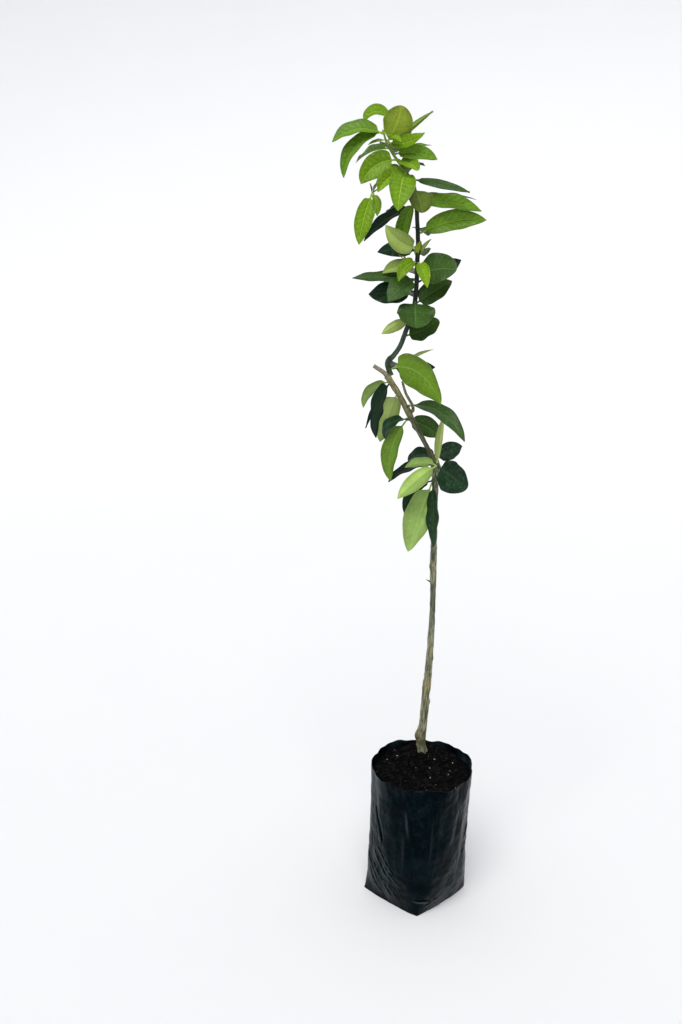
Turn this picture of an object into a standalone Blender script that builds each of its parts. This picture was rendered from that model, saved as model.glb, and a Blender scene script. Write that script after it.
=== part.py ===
"""A grafted lime sapling in a black film grow bag, as one assembly of named solids.

The frame stands on the middle of the bag's flat underside: +Z is up and -Y is the front.
Headings are compass turns seen from above: 0 is +X, 90 is +Y, 180 is -X and 270 is the front.
"""

import math
import random
from collections import namedtuple

import bmesh
import bpy
from mathutils import Vector
from mathutils.bvhtree import BVHTree

MM = 0.001
GAP = 0.0003
WELD = 0.000002
UP = Vector((0.0, 0.0, 1.0))

# Grow bag: a round rim over a base folded square, with one corner to the front
BAG_HEIGHT = 0.217
RIM_RADIUS = 0.075
RIM_SHIFT = 0.008
WAIST = 0.0012
BASE_HALF_WIDTH = 0.077
BASE_HALF_DEPTH = 0.067
BASE_SQUARENESS = 1.12
SQUARE_FADES_AT = 0.105
SQUARE_FADE_POWER = 1.2
FILM = 0.0012
RIM_WAVE = 0.0018
RIM_WAVES = ((3.0, 0.6, 1.0), (7.0, 0.0, 0.6))
BAG_SIDES = 48
BAG_RINGS = 10
RINGS_CROWD_LOW = 1.25

# Potting mix: nearly level, heaped a little round the foot of the trunk
SOIL_LEVEL = 0.204
SOIL_HEAP = 0.007
HEAP_RADIUS = 0.030
FOOT_RADIUS = 0.013
SOIL_RINGS = 5

# The colour and roughness of each piece but the leaves
FINISHES = {
    "grow_bag": ((0.012, 0.018, 0.022), 0.35),
    "potting_mix": ((0.012, 0.008, 0.006), 0.95),
    "trunk": ((0.20, 0.19, 0.12), 0.8),
    "cut_stub": ((0.30, 0.27, 0.18), 0.85),
    "side_shoot": ((0.22, 0.22, 0.12), 0.7),
    "leader": ((0.04, 0.07, 0.03), 0.6),
}
SHARP_ABOVE = 40.0

# Woody limbs
TRUNK_SIDES = 10
LEADER_SIDES = 8
TWIG_SIDES = 5
STEPS_BETWEEN_STATIONS = 2
TWIG_STEPS = 4
TWIG_TAPER = 0.35
SPUR_TAPER = 0.85
CUT_CLEARANCE = 0.002

# Leaves
LEAF_STATIONS = (0.0, 0.12, 0.3, 0.5, 0.7, 0.86, 0.96)
PETIOLE_SHARE = 0.10
PETIOLE_WIDTH = 0.0017
THICKNESS_SHARE = 0.013
LEAST_THICKNESS = 0.0009
ROOT_SUNK = 0.6
STOUT_SHARE = 0.62
ROUND_POWER = 0.5
SLIM_POWER = 0.5
SLIM_POINT = 0.25
BROADEST_LOW = 0.82
FULL_FOLD_WIDTH = 0.3
LEAF_ROUGHNESS = 0.5

# How far each kind of leaf is folded along its midrib in degrees, and its colour
FOLDS = {
    "bud": 30.0,
    "young": 30.0,
    "pale": 24.0,
    "mid": 22.0,
    "light": 14.0,
    "fresh": 14.0,
    "olive": 12.0,
    "green": 12.0,
    "dark": 12.0,
    "deep": 12.0,
}
COLOURS = {
    "bud": (0.45, 0.30, 0.15),
    "young": (0.25, 0.42, 0.05),
    "pale": (0.30, 0.40, 0.15),
    "mid": (0.10, 0.24, 0.05),
    "light": (0.24, 0.38, 0.10),
    "fresh": (0.16, 0.32, 0.04),
    "olive": (0.12, 0.18, 0.06),
    "green": (0.05, 0.12, 0.03),
    "dark": (0.03, 0.08, 0.03),
    "deep": (0.01, 0.03, 0.02),
}

# Leaves on the side that the front doesn't show, dealt out by a seeded rule
BACK_ARC = (55.0, 125.0)
BACK_SEED_TURN = 31.0
BACK_LEAF_TURN = 135.0
BACK_RISE = 12.0
BACK_LENGTH = (58.0, 76.0)
BACK_BEND = (25.0, 50.0)
BACK_WIDTH_SHARE = 0.42

Station = namedtuple("Station", "z x y d")
Leaf = namedtuple("Leaf", "share heading rise bend tilt length width tone")
Twig = namedtuple("Twig", "share heading rise bend length d leaves")
Spray = namedtuple("Spray", "name limb low high spur twigs back leaves")

# The trunk from the flat cut on the soil to the pruned top, in millimetres: rootstock, graft
# union, slim stem, the node where it turns left, and the stretch that leans to the cut
TRUNK = (
    Station(211, 12, 45, 18),
    Station(218, 11, 45, 14.5),
    Station(229, 9, 45, 13.5),
    Station(241, 8.5, 44, 17),
    Station(251, 10, 44, 14.5),
    Station(263, 12, 44, 12.5),
    Station(300, 14, 43, 12),
    Station(328, 15.5, 43, 13),
    Station(345, 17, 42, 11),
    Station(405, 19.5, 41, 9.6),
    Station(465, 20.5, 39, 8),
    Station(515, 19.5, 36, 9.8),
    Station(560, 19, 33, 9),
    Station(610, 18, 30, 9),
    Station(655, 18, 27, 9.6),
    Station(676, 16, 25, 13.5),
    Station(693, 8, 24, 7.0),
    Station(714, -3, 21, 6.6),
    Station(737, -16, 19, 7.2),
    Station(748, -21.5, 18, 9),
    Station(760, -28, 16, 8.2),
    Station(778, -38, 14, 8.2),
    Station(800, -52, 12, 8.6),
)

# The leader above the fork, from where it leaves the back of the trunk to the growing tip
LEADER = (
    Station(799, -46.2, 19, 7.4),
    Station(807, -49.5, 19.5, 7.6),
    Station(818, -50.5, 17, 8.2),
    Station(828, -42.5, 14, 6.9),
    Station(841, -34.5, 12, 6.5),
    Station(863, -27, 10, 6.3),
    Station(884, -19.5, 10, 6.2),
    Station(900, -17, 9, 6.2),
    Station(925, -15.5, 9, 6.0),
    Station(948, -15.5, 8, 6.0),
    Station(969, -15, 7, 5.8),
    Station(993, -16.5, 6, 5.6),
    Station(1018, -18.5, 4, 5.2),
    Station(1039, -22, 3, 4.8),
    Station(1053, -30, 2, 4.2),
    Station(1066, -40, 2, 3.8),
    Station(1079, -50, 1, 3.3),
    Station(1092, -57.5, 0, 2.8),
    Station(1103, -61, 0, 2.0),
)
LEADER_BOUGH_TOP = 850

# The thin grey stub that runs on from the pruned top, and the short shoot beside the trunk
STUB_COLLAR = 0.0018
STUB = (
    Station(804, -56, 12, 6.2),
    Station(808, -62, 12, 6.0),
    Station(813, -70, 12, 5.6),
)
SIDE_SHOOT = (
    Station(752, -16.2, 16.5, 4.6),
    Station(760, -17.5, 15.5, 4.2),
    Station(775, -26, 13, 3.8),
    Station(790, -31, 11, 3.2),
)

SPRAYS = (
    Spray("foliage_tip", "leader", 1048, 1103, None, (
        Twig(0.08, 186, -15, 20, 50, 2.6, (
            Leaf(0.97, 300, -55, 30, 10, 30, 14, "young"),
            Leaf(0.99, 225, -58, 22, 45, 66, 27, "young"),
            Leaf(1.0, 130, 70, 0, 0, 12, 4, "young"),
        )),
        Twig(1.0, 40, 50, -20, 17, 2.0, (
            Leaf(1.0, 178, 66, 145, 60, 40, 18, "young"),
        )),
    ), 2, (
        Leaf(0.95, 187, 28, 72, 42, 69, 27, "mid"),
        Leaf(1.0, 185, -6, 83, 45, 79, 25, "mid"),
        Leaf(0.80, 305, 36, -40, -45, 50, 44, "young"),
        Leaf(0.7, 24, 41, 10, -98, 74, 8, "mid"),
        Leaf(0.81, 338, -15, -54, 62, 51, 20, "young"),
        Leaf(0.99, 318, -15, 15, 35, 30, 13, "young"),
        Leaf(0.56, 345, 12, 38, 68, 56, 22, "mid"),
        Leaf(0.60, 20, 15, 10, 15, 53, 20, "mid"),
        Leaf(0.42, 318, -5, 30, 40, 35, 22, "young"),
        Leaf(0.36, 25, 3, 15, 0, 36, 20, "dark"),
        Leaf(0.86, 185, -8, 15, 20, 22, 8, "young"),
        Leaf(0.50, 318, -40, 10, 20, 25, 8, "young"),
        Leaf(0.43, 193, 4, 72, 76, 57, 35, "young"),
        Leaf(0.68, 145, 5, 45, 25, 54, 28, "mid"),
        Leaf(0.10, 212, 12, 75, 55, 52, 22, "young"),
        Leaf(0.24, 140, -4, 55, 30, 58, 28, "mid"),
        Leaf(0.17, 255, -22, 52, 20, 64, 38, "young"),
    )),
    Spray("foliage_shoulder", "leader", 1000, 1048, None, (), 2, (
        Leaf(0.75, 287, -25, 46, -7, 39, 37, "olive"),
        Leaf(1.0, 350, -7, 10, 63, 75, 12, "green"),
        Leaf(0.60, 25, 5, 18, 5, 89, 18, "dark"),
        Leaf(0.40, 5, 7, 28, 60, 84, 24, "mid"),
        Leaf(0.33, 150, -10, 42, -25, 88, 20, "deep"),
        Leaf(0.47, 147, -48, 58, 102, 69, 21, "mid"),
    )),
    Spray("foliage_upper", "leader", 945, 1000, None, (
        Twig(0.02, 188, 22, 10, 20, 1.8, (
            Leaf(0.8, 230, 40, 20, 0, 9, 4, "bud"),
            Leaf(1.0, 180, 50, 20, 0, 8, 4, "bud"),
        )),
    ), 2, (
        Leaf(0.66, 6, 29, 36, 77, 90, 29, "mid"),
        Leaf(0.37, 213, 4, -51, 103, 59, 28, "pale"),
        Leaf(0.27, 175, 16, 34, 90, 51, 20, "dark"),
        Leaf(0.08, 285, 75, 20, 0, 26, 12, "young"),
        Leaf(0.12, 15, 58, 10, 20, 29, 10, "pale"),
        Leaf(0.03, 221, 8, 85, 55, 42, 19, "young"),
        Leaf(0.04, 288, -15, 50, 20, 46, 19, "young"),
    )),
    Spray("foliage_middle", "leader", 888, 945, None, (), 2, (
        Leaf(0.66, 180, 5, 8, 35, 82, 24, "green"),
        Leaf(0.85, 180, 30, 70, 63, 46, 20, "pale"),
        Leaf(0.4, 165, -6, -2, 64, 62, 34, "dark"),
        Leaf(0.66, 212, -10, 42, 40, 51, 31, "green"),
        Leaf(0.72, 328, 30, 40, 60, 57, 43, "green"),
        Leaf(0.58, 28, 22, 1, 71, 72, 27, "deep"),
        Leaf(0.1, 359, 35, 6, 53, 55, 34, "green"),
        Leaf(0.21, 268, -41, -16, 6, 55, 50, "green"),
    )),
    Spray("foliage_lower", "leader", 850, 888, None, (), 1, (
        Leaf(0.65, 189, -16, 20, -120, 41, 17, "pale"),
        Leaf(0.07, 355, 12, -27, 48, 49, 37, "green"),
    )),
    Spray("foliage_fork_right", "leader_bough", 809, None, (300, 20, 3, 3.4), (), 0, (
        Leaf(0.91, 309, 22, 83, 88, 109, 47, "fresh"),
        Leaf(0.84, 25, 21, 4, -21, 67, 20, "pale"),
        Leaf(0.59, 16, 0, 2, 77, 62, 22, "deep"),
        Leaf(0.7, 66, 12, 45, 0, 66, 28, "deep"),
    )),
    Spray("foliage_fork_left", "trunk", 790, None, (120, 25, 4, 3.6), (), 0, (
        Leaf(0.9, 242, -19, 79, -95, 86, 34, "deep"),
        Leaf(0.91, 166, -4, 82, -44, 56, 19, "light"),
        Leaf(0.7, 148, -52, 17, -21, 77, 10, "deep"),
    )),
    Spray("foliage_fork_back", "trunk", 776, None, (80, 0, 4, 3.2), (), 0, (
        Leaf(0.9, 163, -67, 8, -62, 75, 36, "pale"),
    )),
    Spray("foliage_bend_right", "trunk", 757, None, (312, 20, 3, 3.2), (), 0, (
        Leaf(0.5, 313, 20, 75, 20, 112, 27, "green"),
    )),
    Spray("foliage_bend_left", "trunk", 742, None, (205, 0, 4, 3.2), (), 0, (
        Leaf(0.83, 204, -45, 59, -87, 89, 28, "fresh"),
        Leaf(0.7, 198, 20, 120, 20, 48, 24, "dark"),
    )),
    Spray("foliage_bend_back", "trunk", 739, None, (125, 0, 9, 3.2), (), 0, (
        Leaf(0.95, 12, -14, 30, 88, 56, 28, "green"),
    )),
    Spray("foliage_knob_front", "trunk", 676, None, (280, 10, 4, 3.8), (), 0, (
        Leaf(0.8, 285, 80, 8, 0, 72, 13, "pale"),
        Leaf(0.83, 184, 23, 52, -70, 45, 18, "light"),
        Leaf(0.92, 220, -15, 19, -134, 80, 24, "light"),
        Leaf(0.77, 316, -24, -6, 83, 57, 45, "dark"),
        Leaf(0.8, 172, 8, 60, -50, 74, 24, "deep"),
    )),
    Spray("foliage_knob_back", "trunk", 677, None, (75, 10, 4, 3.4), (), 0, (
        Leaf(0.87, 26, 33, 27, 70, 45, 26, "dark"),
        Leaf(0.8, 165, 40, 95, 30, 44, 28, "dark"),
        Leaf(0.9, 95, 10, 60, 0, 74, 32, "dark"),
    )),
    Spray("foliage_hanging", "trunk", 652, None, (235, 10, 4, 3.4), (), 0, (
        Leaf(0.95, 208, -67, 4, -98, 103, 46, "light"),
        Leaf(0.9, 274, -60, 30, 60, 92, 30, "dark"),
        Leaf(0.39, 150, -14, 76, -63, 75, 17, "deep"),
    )),
)


def clear_scene():
    """Remove every object, so that the script starts from an empty scene."""
    for thing in list(bpy.data.objects):
        bpy.data.objects.remove(thing, do_unlink=True)


def plain_material(name, colour, roughness):
    """A Principled material of one colour."""
    material = bpy.data.materials.new(name)
    material.use_nodes = True
    shader = material.node_tree.nodes["Principled BSDF"]
    shader.inputs["Base Color"].default_value = (*colour, 1.0)
    shader.inputs["Roughness"].default_value = roughness
    shader.inputs["Metallic"].default_value = 0.0
    return material


def new_object(name, vertices, faces):
    """An object in the scene made from points and faces."""
    mesh = bpy.data.meshes.new(name)
    mesh.from_pydata([tuple(v) for v in vertices], [], faces)
    mesh.validate()
    thing = bpy.data.objects.new(name, mesh)
    bpy.context.collection.objects.link(thing)
    return thing


def finish(thing, colour, roughness):
    """Shade a piece smooth with sharp corners, and give it its own material."""
    thing.data.shade_smooth()
    thing.data.set_sharp_from_angle(angle=math.radians(SHARP_ABOVE))
    thing.data.materials.clear()
    thing.data.materials.append(plain_material(thing.name, colour, roughness))


def ring_faces(start, other, sides):
    """Quads between two rings of points that run the same way round."""
    turns = [(k, (k + 1) % sides) for k in range(sides)]
    return [(start + a, start + b, other + b, other + a) for a, b in turns]


def skin_faces(lower, upper, sides, inward=False):
    """Triangles between a lower and an upper ring, split the same way on every skin of the bag."""
    faces = []
    for a in range(sides):
        b = (a + 1) % sides
        faces.append((lower + a, lower + b, upper + b))
        faces.append((lower + a, upper + b, upper + a))
    return [face[::-1] for face in faces] if inward else faces


def aim(heading, rise):
    """The unit vector at a compass heading and a rise above level, in degrees."""
    h, r = math.radians(heading), math.radians(rise)
    return Vector((math.cos(h) * math.cos(r), math.sin(h) * math.cos(r), math.sin(r)))


def bag_half_sizes(z):
    """The bag's middle along X, its half sizes and how square it is at a height."""
    up = z / BAG_HEIGHT
    fade = min(z / SQUARE_FADES_AT, 1.0)
    power = BASE_SQUARENESS + (2.0 - BASE_SQUARENESS) * math.sin(0.5 * math.pi * fade) ** SQUARE_FADE_POWER
    waist = WAIST * math.sin(math.pi * up)
    half_x = BASE_HALF_WIDTH + (RIM_RADIUS - BASE_HALF_WIDTH) * up - waist
    half_y = BASE_HALF_DEPTH + (RIM_RADIUS - BASE_HALF_DEPTH) * min(2.0 * up, 1.0) - waist
    return RIM_SHIFT * math.sqrt(up), half_x, half_y, power


def bag_point(angle, z, inset=0.0):
    """A point on the bag's outer skin, or inset from it, at an angle and a height."""
    middle, half_x, half_y, power = bag_half_sizes(z)
    c, s = math.cos(angle), math.sin(angle)
    spread = abs(c / half_x) ** power + abs(s / half_y) ** power
    radius = spread ** (-1.0 / power) - inset
    return Vector((middle + radius * c, radius * s, z))


def bag_ring(z, inset=0.0, wave=0.0):
    """One ring of the bag's points, its height waving a little where asked."""
    ring = []
    for k in range(BAG_SIDES):
        angle = 2.0 * math.pi * k / BAG_SIDES
        point = bag_point(angle, z, inset)
        point.z += sum(wave * share * math.sin(times * angle + phase) for times, phase, share in RIM_WAVES)
        ring.append(point)
    return ring


def bag_heights():
    """The heights of the bag's rings, closer together near the folded base."""
    return [BAG_HEIGHT * (k / BAG_RINGS) ** RINGS_CROWD_LOW for k in range(BAG_RINGS + 1)]


def make_bag():
    """The film bag: outer skin, rim, inner skin and floor in one open-topped shell."""
    low, *middle, high = bag_heights()
    rings = [bag_ring(z) for z in (low, *middle)]
    rings.append(bag_ring(high, wave=RIM_WAVE))
    rings.append(bag_ring(high, FILM, RIM_WAVE))
    rings += [bag_ring(z, FILM) for z in (*reversed(middle), FILM)]
    vertices = [p for ring in rings for p in ring]
    faces = [tuple(range(BAG_SIDES))[::-1]]
    for k in range(BAG_RINGS + 1):
        faces += skin_faces(k * BAG_SIDES, (k + 1) * BAG_SIDES, BAG_SIDES)
    for k in range(BAG_RINGS + 1, len(rings) - 1):
        faces += skin_faces((k + 1) * BAG_SIDES, k * BAG_SIDES, BAG_SIDES, inward=True)
    last = (len(rings) - 1) * BAG_SIDES
    faces.append(tuple(range(last, last + BAG_SIDES)))
    bag = new_object("grow_bag", vertices, faces)
    finish(bag, *FINISHES["grow_bag"])
    return bag


def soil_height(distance):
    """The soil's height at a distance from the middle of the trunk's foot."""
    out = max(distance - FOOT_RADIUS, 0.0) / HEAP_RADIUS
    return SOIL_LEVEL + SOIL_HEAP * math.exp(-out * out) - GAP


def make_soil():
    """The potting mix: it fills the bag, and its top ends in a level spot under the trunk."""
    foot = Vector((TRUNK[0].x * MM, TRUNK[0].y * MM, 0.0))
    inset = FILM + GAP
    levels = [z for z in bag_heights() if 0.0 < z < SOIL_LEVEL]
    rings = [bag_ring(z, inset) for z in (inset, *levels)]
    edge = bag_ring(SOIL_LEVEL, inset)
    for k in range(SOIL_RINGS + 1):
        share = k / SOIL_RINGS
        ring = []
        for number, point in enumerate(edge):
            angle = 2.0 * math.pi * number / BAG_SIDES
            level_spot = foot + FOOT_RADIUS * Vector((math.cos(angle), math.sin(angle), 0.0))
            spot = Vector((point.x, point.y, 0.0)).lerp(level_spot, share)
            spot.z = soil_height((spot - foot).length)
            ring.append(spot)
        rings.append(ring)
    vertices = [p for ring in rings for p in ring]
    faces = [tuple(range(BAG_SIDES))[::-1]]
    for k in range(len(rings) - 1):
        faces += skin_faces(k * BAG_SIDES, (k + 1) * BAG_SIDES, BAG_SIDES)
    last = (len(rings) - 1) * BAG_SIDES
    faces.append(tuple(range(last, last + BAG_SIDES)))
    soil = new_object("potting_mix", vertices, faces)
    finish(soil, *FINISHES["potting_mix"])
    return soil


def smooth_path(stations):
    """Points and radii along a smooth curve through a limb's stations."""
    rows = [(Vector((s.x, s.y, s.z)) * MM, 0.5 * s.d * MM) for s in stations]
    path = []
    for k in range(len(rows) - 1):
        before = rows[max(k - 1, 0)]
        after = rows[min(k + 2, len(rows) - 1)]
        for step in range(STEPS_BETWEEN_STATIONS):
            t = step / STEPS_BETWEEN_STATIONS
            path.append(blend_rows(before, rows[k], rows[k + 1], after, t))
    path.append(rows[-1])
    return path


def blend_rows(before, start, end, after, t):
    """A Catmull-Rom blend of four rows of a point and a radius."""
    weights = (
        0.5 * (-t + 2 * t**2 - t**3),
        0.5 * (2 - 5 * t**2 + 3 * t**3),
        0.5 * (t + 4 * t**2 - 3 * t**3),
        0.5 * (-(t**2) + t**3),
    )
    rows = (before, start, end, after)
    point = sum((row[0] * w for row, w in zip(rows, weights)), Vector())
    radius = sum(row[1] * w for row, w in zip(rows, weights))
    return point, radius


def path_at(path, height):
    """The point, axis and radius of a rising path at a height in metres."""
    height = max(height, path[0][0].z)
    for (low, r0), (high, r1) in zip(path, path[1:]):
        if low.z <= height <= high.z:
            t = (height - low.z) / (high.z - low.z)
            return low.lerp(high, t), (high - low).normalized(), r0 + (r1 - r0) * t
    end, radius = path[-1]
    return end, (end - path[-2][0]).normalized(), radius


def part_of_path(path, low, high):
    """The stretch of a rising path between two heights, with its cut ends."""
    first, _, r0 = path_at(path, low)
    last, _, r1 = path_at(path, high)
    between = [row for row in path if low + CUT_CLEARANCE < row[0].z < high - CUT_CLEARANCE]
    return [(first, r0), *between, (last, r1)]


def tube(name, path, sides, flat_foot=False):
    """A closed tube with a radius at each point and flat ends."""
    vertices = []
    side = None
    for k, (point, radius) in enumerate(path):
        before = path[max(k - 1, 0)][0]
        after = path[min(k + 1, len(path) - 1)][0]
        axis = UP if flat_foot and k == 0 else (after - before).normalized()
        if side is None:
            side = axis.cross(Vector((0.0, 1.0, 0.2))).normalized()
        side = (side - axis * side.dot(axis)).normalized()
        other = axis.cross(side)
        for turn in range(sides):
            angle = 2.0 * math.pi * turn / sides
            vertices.append(point + radius * (math.cos(angle) * side + math.sin(angle) * other))
    faces = [tuple(range(sides))[::-1]]
    for k in range(len(path) - 1):
        faces += ring_faces(k * sides, (k + 1) * sides, sides)
    last = (len(path) - 1) * sides
    faces.append(tuple(range(last, last + sides)))
    return new_object(name, vertices, faces)


def blade_width(t, stout):
    """The half width of a leaf blade along its length, as a share of the greatest."""
    if not 0.0 < t < 1.0:
        return 0.0
    power = ROUND_POWER if stout else SLIM_POWER + SLIM_POINT * t
    return math.sin(math.pi * t**BROADEST_LOW) ** power


def leaf_frame(leaf, t):
    """The direction, side and face of a leaf's midrib at a share of its length."""
    direction = aim(leaf.heading, leaf.rise - leaf.bend * t)
    level = UP.cross(aim(leaf.heading, 0.0)).normalized()
    face = direction.cross(level)
    turn = math.radians(leaf.tilt) * (1.0 if level.y > 0.0 else -1.0)
    side = level * math.cos(turn) + face * math.sin(turn)
    return direction, side, direction.cross(side)


def midrib(leaf, root):
    """Points down the midrib: the petiole first, then the blade's stations and its tip."""
    length = leaf.length * MM
    shares = [PETIOLE_SHARE + (1.0 - PETIOLE_SHARE) * t for t in (*LEAF_STATIONS, 1.0)]
    points = [root]
    reached = 0.0
    for share in shares:
        direction, _, _ = leaf_frame(leaf, 0.5 * (reached + share))
        points.append(points[-1] + direction * length * (share - reached))
        reached = share
    return points, [0.0, *shares]


def blade_faces(a, b):
    """Triangles between two blade sections, split alike above and below so that they never cross."""
    left, top, right, under = range(4)
    return [
        (a + left, a + top, b + left),
        (a + top, b + top, b + left),
        (a + top, a + right, b + right),
        (a + top, b + right, b + top),
        (a + right, a + under, b + right),
        (a + under, b + under, b + right),
        (a + under, a + left, b + left),
        (a + under, b + left, b + under),
    ]


def make_leaf(leaf, root):
    """One leaf as a thin closed solid: a square petiole that widens into a folded blade."""
    points, shares = midrib(leaf, root)
    length = leaf.length * MM
    thick = max(THICKNESS_SHARE * length, LEAST_THICKNESS)
    fold = math.radians(FOLDS[leaf.tone])
    stout = leaf.width > STOUT_SHARE * leaf.length
    vertices = []
    for k, (point, share) in enumerate(zip(points[:-1], shares[:-1])):
        direction, side, face = leaf_frame(leaf, share)
        blade = 0.0 if k == 0 else (share - PETIOLE_SHARE) / (1.0 - PETIOLE_SHARE)
        half = max(0.5 * leaf.width * MM * blade_width(blade, stout), 0.5 * PETIOLE_WIDTH)
        lift = half * math.sin(fold) * min(half / (FULL_FOLD_WIDTH * leaf.width * MM), 1.0)
        half *= math.cos(fold)
        body = 0.5 * thick if k else 0.5 * PETIOLE_WIDTH
        vertices += [
            point + side * half + face * lift,
            point + face * body,
            point - side * half + face * lift,
            point - face * body,
        ]
    tip = len(vertices)
    vertices.append(points[-1])
    faces = [(3, 2, 1, 0)]
    rings = len(points) - 1
    for k in range(rings - 1):
        faces += blade_faces(4 * k, 4 * (k + 1))
    last = 4 * (rings - 1)
    faces += [(last + a, last + (a + 1) % 4, tip) for a in range(4)]
    thing = new_object("leaf", vertices, faces)
    face_outwards(thing)
    return thing


def face_outwards(thing):
    """Turn a closed mesh's faces to point out."""
    mesh = bmesh.new()
    mesh.from_mesh(thing.data)
    bmesh.ops.recalc_face_normals(mesh, faces=mesh.faces)
    if mesh.calc_volume(signed=True) < 0.0:
        bmesh.ops.reverse_faces(mesh, faces=mesh.faces)
    mesh.to_mesh(thing.data)
    mesh.free()


def tree_of(thing):
    """A search tree of a piece's faces, to find what touches it."""
    data = thing.data
    points = [v.co.copy() for v in data.vertices]
    return BVHTree.FromPolygons(points, [tuple(p.vertices) for p in data.polygons])


def touches(thing, trees):
    """Whether a piece's faces cross those of any other."""
    own = tree_of(thing)
    return any(own.overlap(other) for other in trees)


def along(path, share):
    """The point and radius at a share of a short path's length."""
    lengths = [(b[0] - a[0]).length for a, b in zip(path, path[1:])]
    wanted = share * sum(lengths)
    for (a, b), length in zip(zip(path, path[1:]), lengths):
        if wanted <= length:
            t = wanted / length
            return a[0].lerp(b[0], t), a[1] + (b[1] - a[1]) * t
        wanted -= length
    return path[-1]


def place_leaf(leaf, path, trees):
    """Grow a leaf from a path, or None where it would touch another piece."""
    centre, radius = along(path, leaf.share)
    out = aim(leaf.heading, leaf.rise)
    thing = make_leaf(leaf, centre + out * radius * (1.0 - ROOT_SUNK))
    if touches(thing, trees):
        bpy.data.objects.remove(thing, do_unlink=True)
        return None
    return thing


def back_leaves(spray, seed):
    """Leaves on the side away from the front, turned on from each other by a steady rule."""
    rule = random.Random(seed)
    low, high = BACK_ARC
    leaves = []
    for k in range(spray.back):
        share = (k + 0.5) / spray.back
        heading = low + (seed * BACK_SEED_TURN + k * BACK_LEAF_TURN) % (high - low)
        length = rule.uniform(*BACK_LENGTH)
        bend = rule.uniform(*BACK_BEND)
        width = BACK_WIDTH_SHARE * length
        leaves.append(Leaf(share, heading, BACK_RISE, bend, 0, length, width, "dark"))
    return leaves


def twig_path(twig, stem):
    """The bending path of a small twig that leaves a stem."""
    point, _ = along(stem, twig.share)
    path = []
    step = twig.length * MM / TWIG_STEPS
    for k in range(TWIG_STEPS + 1):
        share = k / TWIG_STEPS
        path.append((point, 0.5 * twig.d * MM * (1.0 - TWIG_TAPER * share)))
        point = point + aim(twig.heading, twig.rise - twig.bend * share) * step
    return path


def spray_stem(spray, limbs):
    """A spray's own stem: a stretch of the leader, or a short spur 0.3 mm clear of its limb."""
    if spray.spur is None:
        return part_of_path(limbs["leader"], spray.low * MM + GAP, spray.high * MM)
    heading, rise, length, d = spray.spur
    centre, axis, radius = path_at(limbs[spray.limb], spray.low * MM)
    out = aim(heading, rise)
    out = (out - axis * out.dot(axis)).normalized()
    root = centre + out * (radius + GAP)
    radius = 0.5 * d * MM
    return [(root, radius), (root + out * length * MM, SPUR_TAPER * radius)]


def spray_pieces(spray, seed, stem, trees):
    """The twigs and leaves that grow on a spray's stem, as loose solids."""
    pieces = []
    for twig in spray.twigs:
        path = twig_path(twig, stem)
        pieces.append(tube("twig", path, TWIG_SIDES))
        pieces += [place_leaf(leaf, path, trees) for leaf in twig.leaves]
    for leaf in (*spray.leaves, *back_leaves(spray, seed)):
        pieces.append(place_leaf(leaf, stem, trees))
    return [piece for piece in pieces if piece is not None]


def join_pieces(base, pieces):
    """Join loose solids to a base by one Boolean union on a collection."""
    group = bpy.data.collections.new(base.name + "_parts")
    for piece in pieces:
        bpy.context.collection.objects.unlink(piece)
        group.objects.link(piece)
    bpy.context.scene.collection.children.link(group)
    union = base.modifiers.new("union", "BOOLEAN")
    union.operation = "UNION"
    union.operand_type = "COLLECTION"
    union.collection = group
    union.solver = "EXACT"
    graph = bpy.context.evaluated_depsgraph_get()
    joined = bpy.data.meshes.new_from_object(base.evaluated_get(graph))
    base.modifiers.clear()
    base.data = joined
    for piece in pieces:
        bpy.data.objects.remove(piece, do_unlink=True)
    bpy.data.collections.remove(group)
    keep_one_body(base)


def keep_one_body(thing):
    """Keep the largest closed body of a mesh: scraps and sealed hollows are dropped."""
    mesh = bmesh.new()
    mesh.from_mesh(thing.data)
    bmesh.ops.remove_doubles(mesh, verts=mesh.verts, dist=WELD)
    bmesh.ops.triangulate(mesh, faces=mesh.faces)
    waiting = set(mesh.verts)
    bodies = []
    while waiting:
        body = grow_body(waiting.pop())
        waiting -= body
        bodies.append(body)
    bodies.sort(key=len)
    for body in bodies[:-1]:
        bmesh.ops.delete(mesh, geom=list(body), context="VERTS")
    mesh.to_mesh(thing.data)
    mesh.free()


def grow_body(start):
    """All the vertices joined to one by edges."""
    body = {start}
    edge_of_search = [start]
    while edge_of_search:
        vertex = edge_of_search.pop()
        for edge in vertex.link_edges:
            other = edge.other_vert(vertex)
            if other not in body:
                body.add(other)
                edge_of_search.append(other)
    return body


def mean_colour(spray):
    """The mean colour of a spray's leaves."""
    colours = [COLOURS[leaf.tone] for leaf in spray.leaves]
    return tuple(sum(parts) / len(colours) for parts in zip(*colours))


def stub_path(trunk_path):
    """The stub's path: it starts square on the trunk's cut and 0.3 mm clear of it."""
    end, axis, _ = path_at(trunk_path, trunk_path[-1][0].z)
    rows = smooth_path(STUB)
    radius = rows[0][1]
    return [(end + axis * GAP, radius), (end + axis * STUB_COLLAR, radius), *rows]


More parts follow.
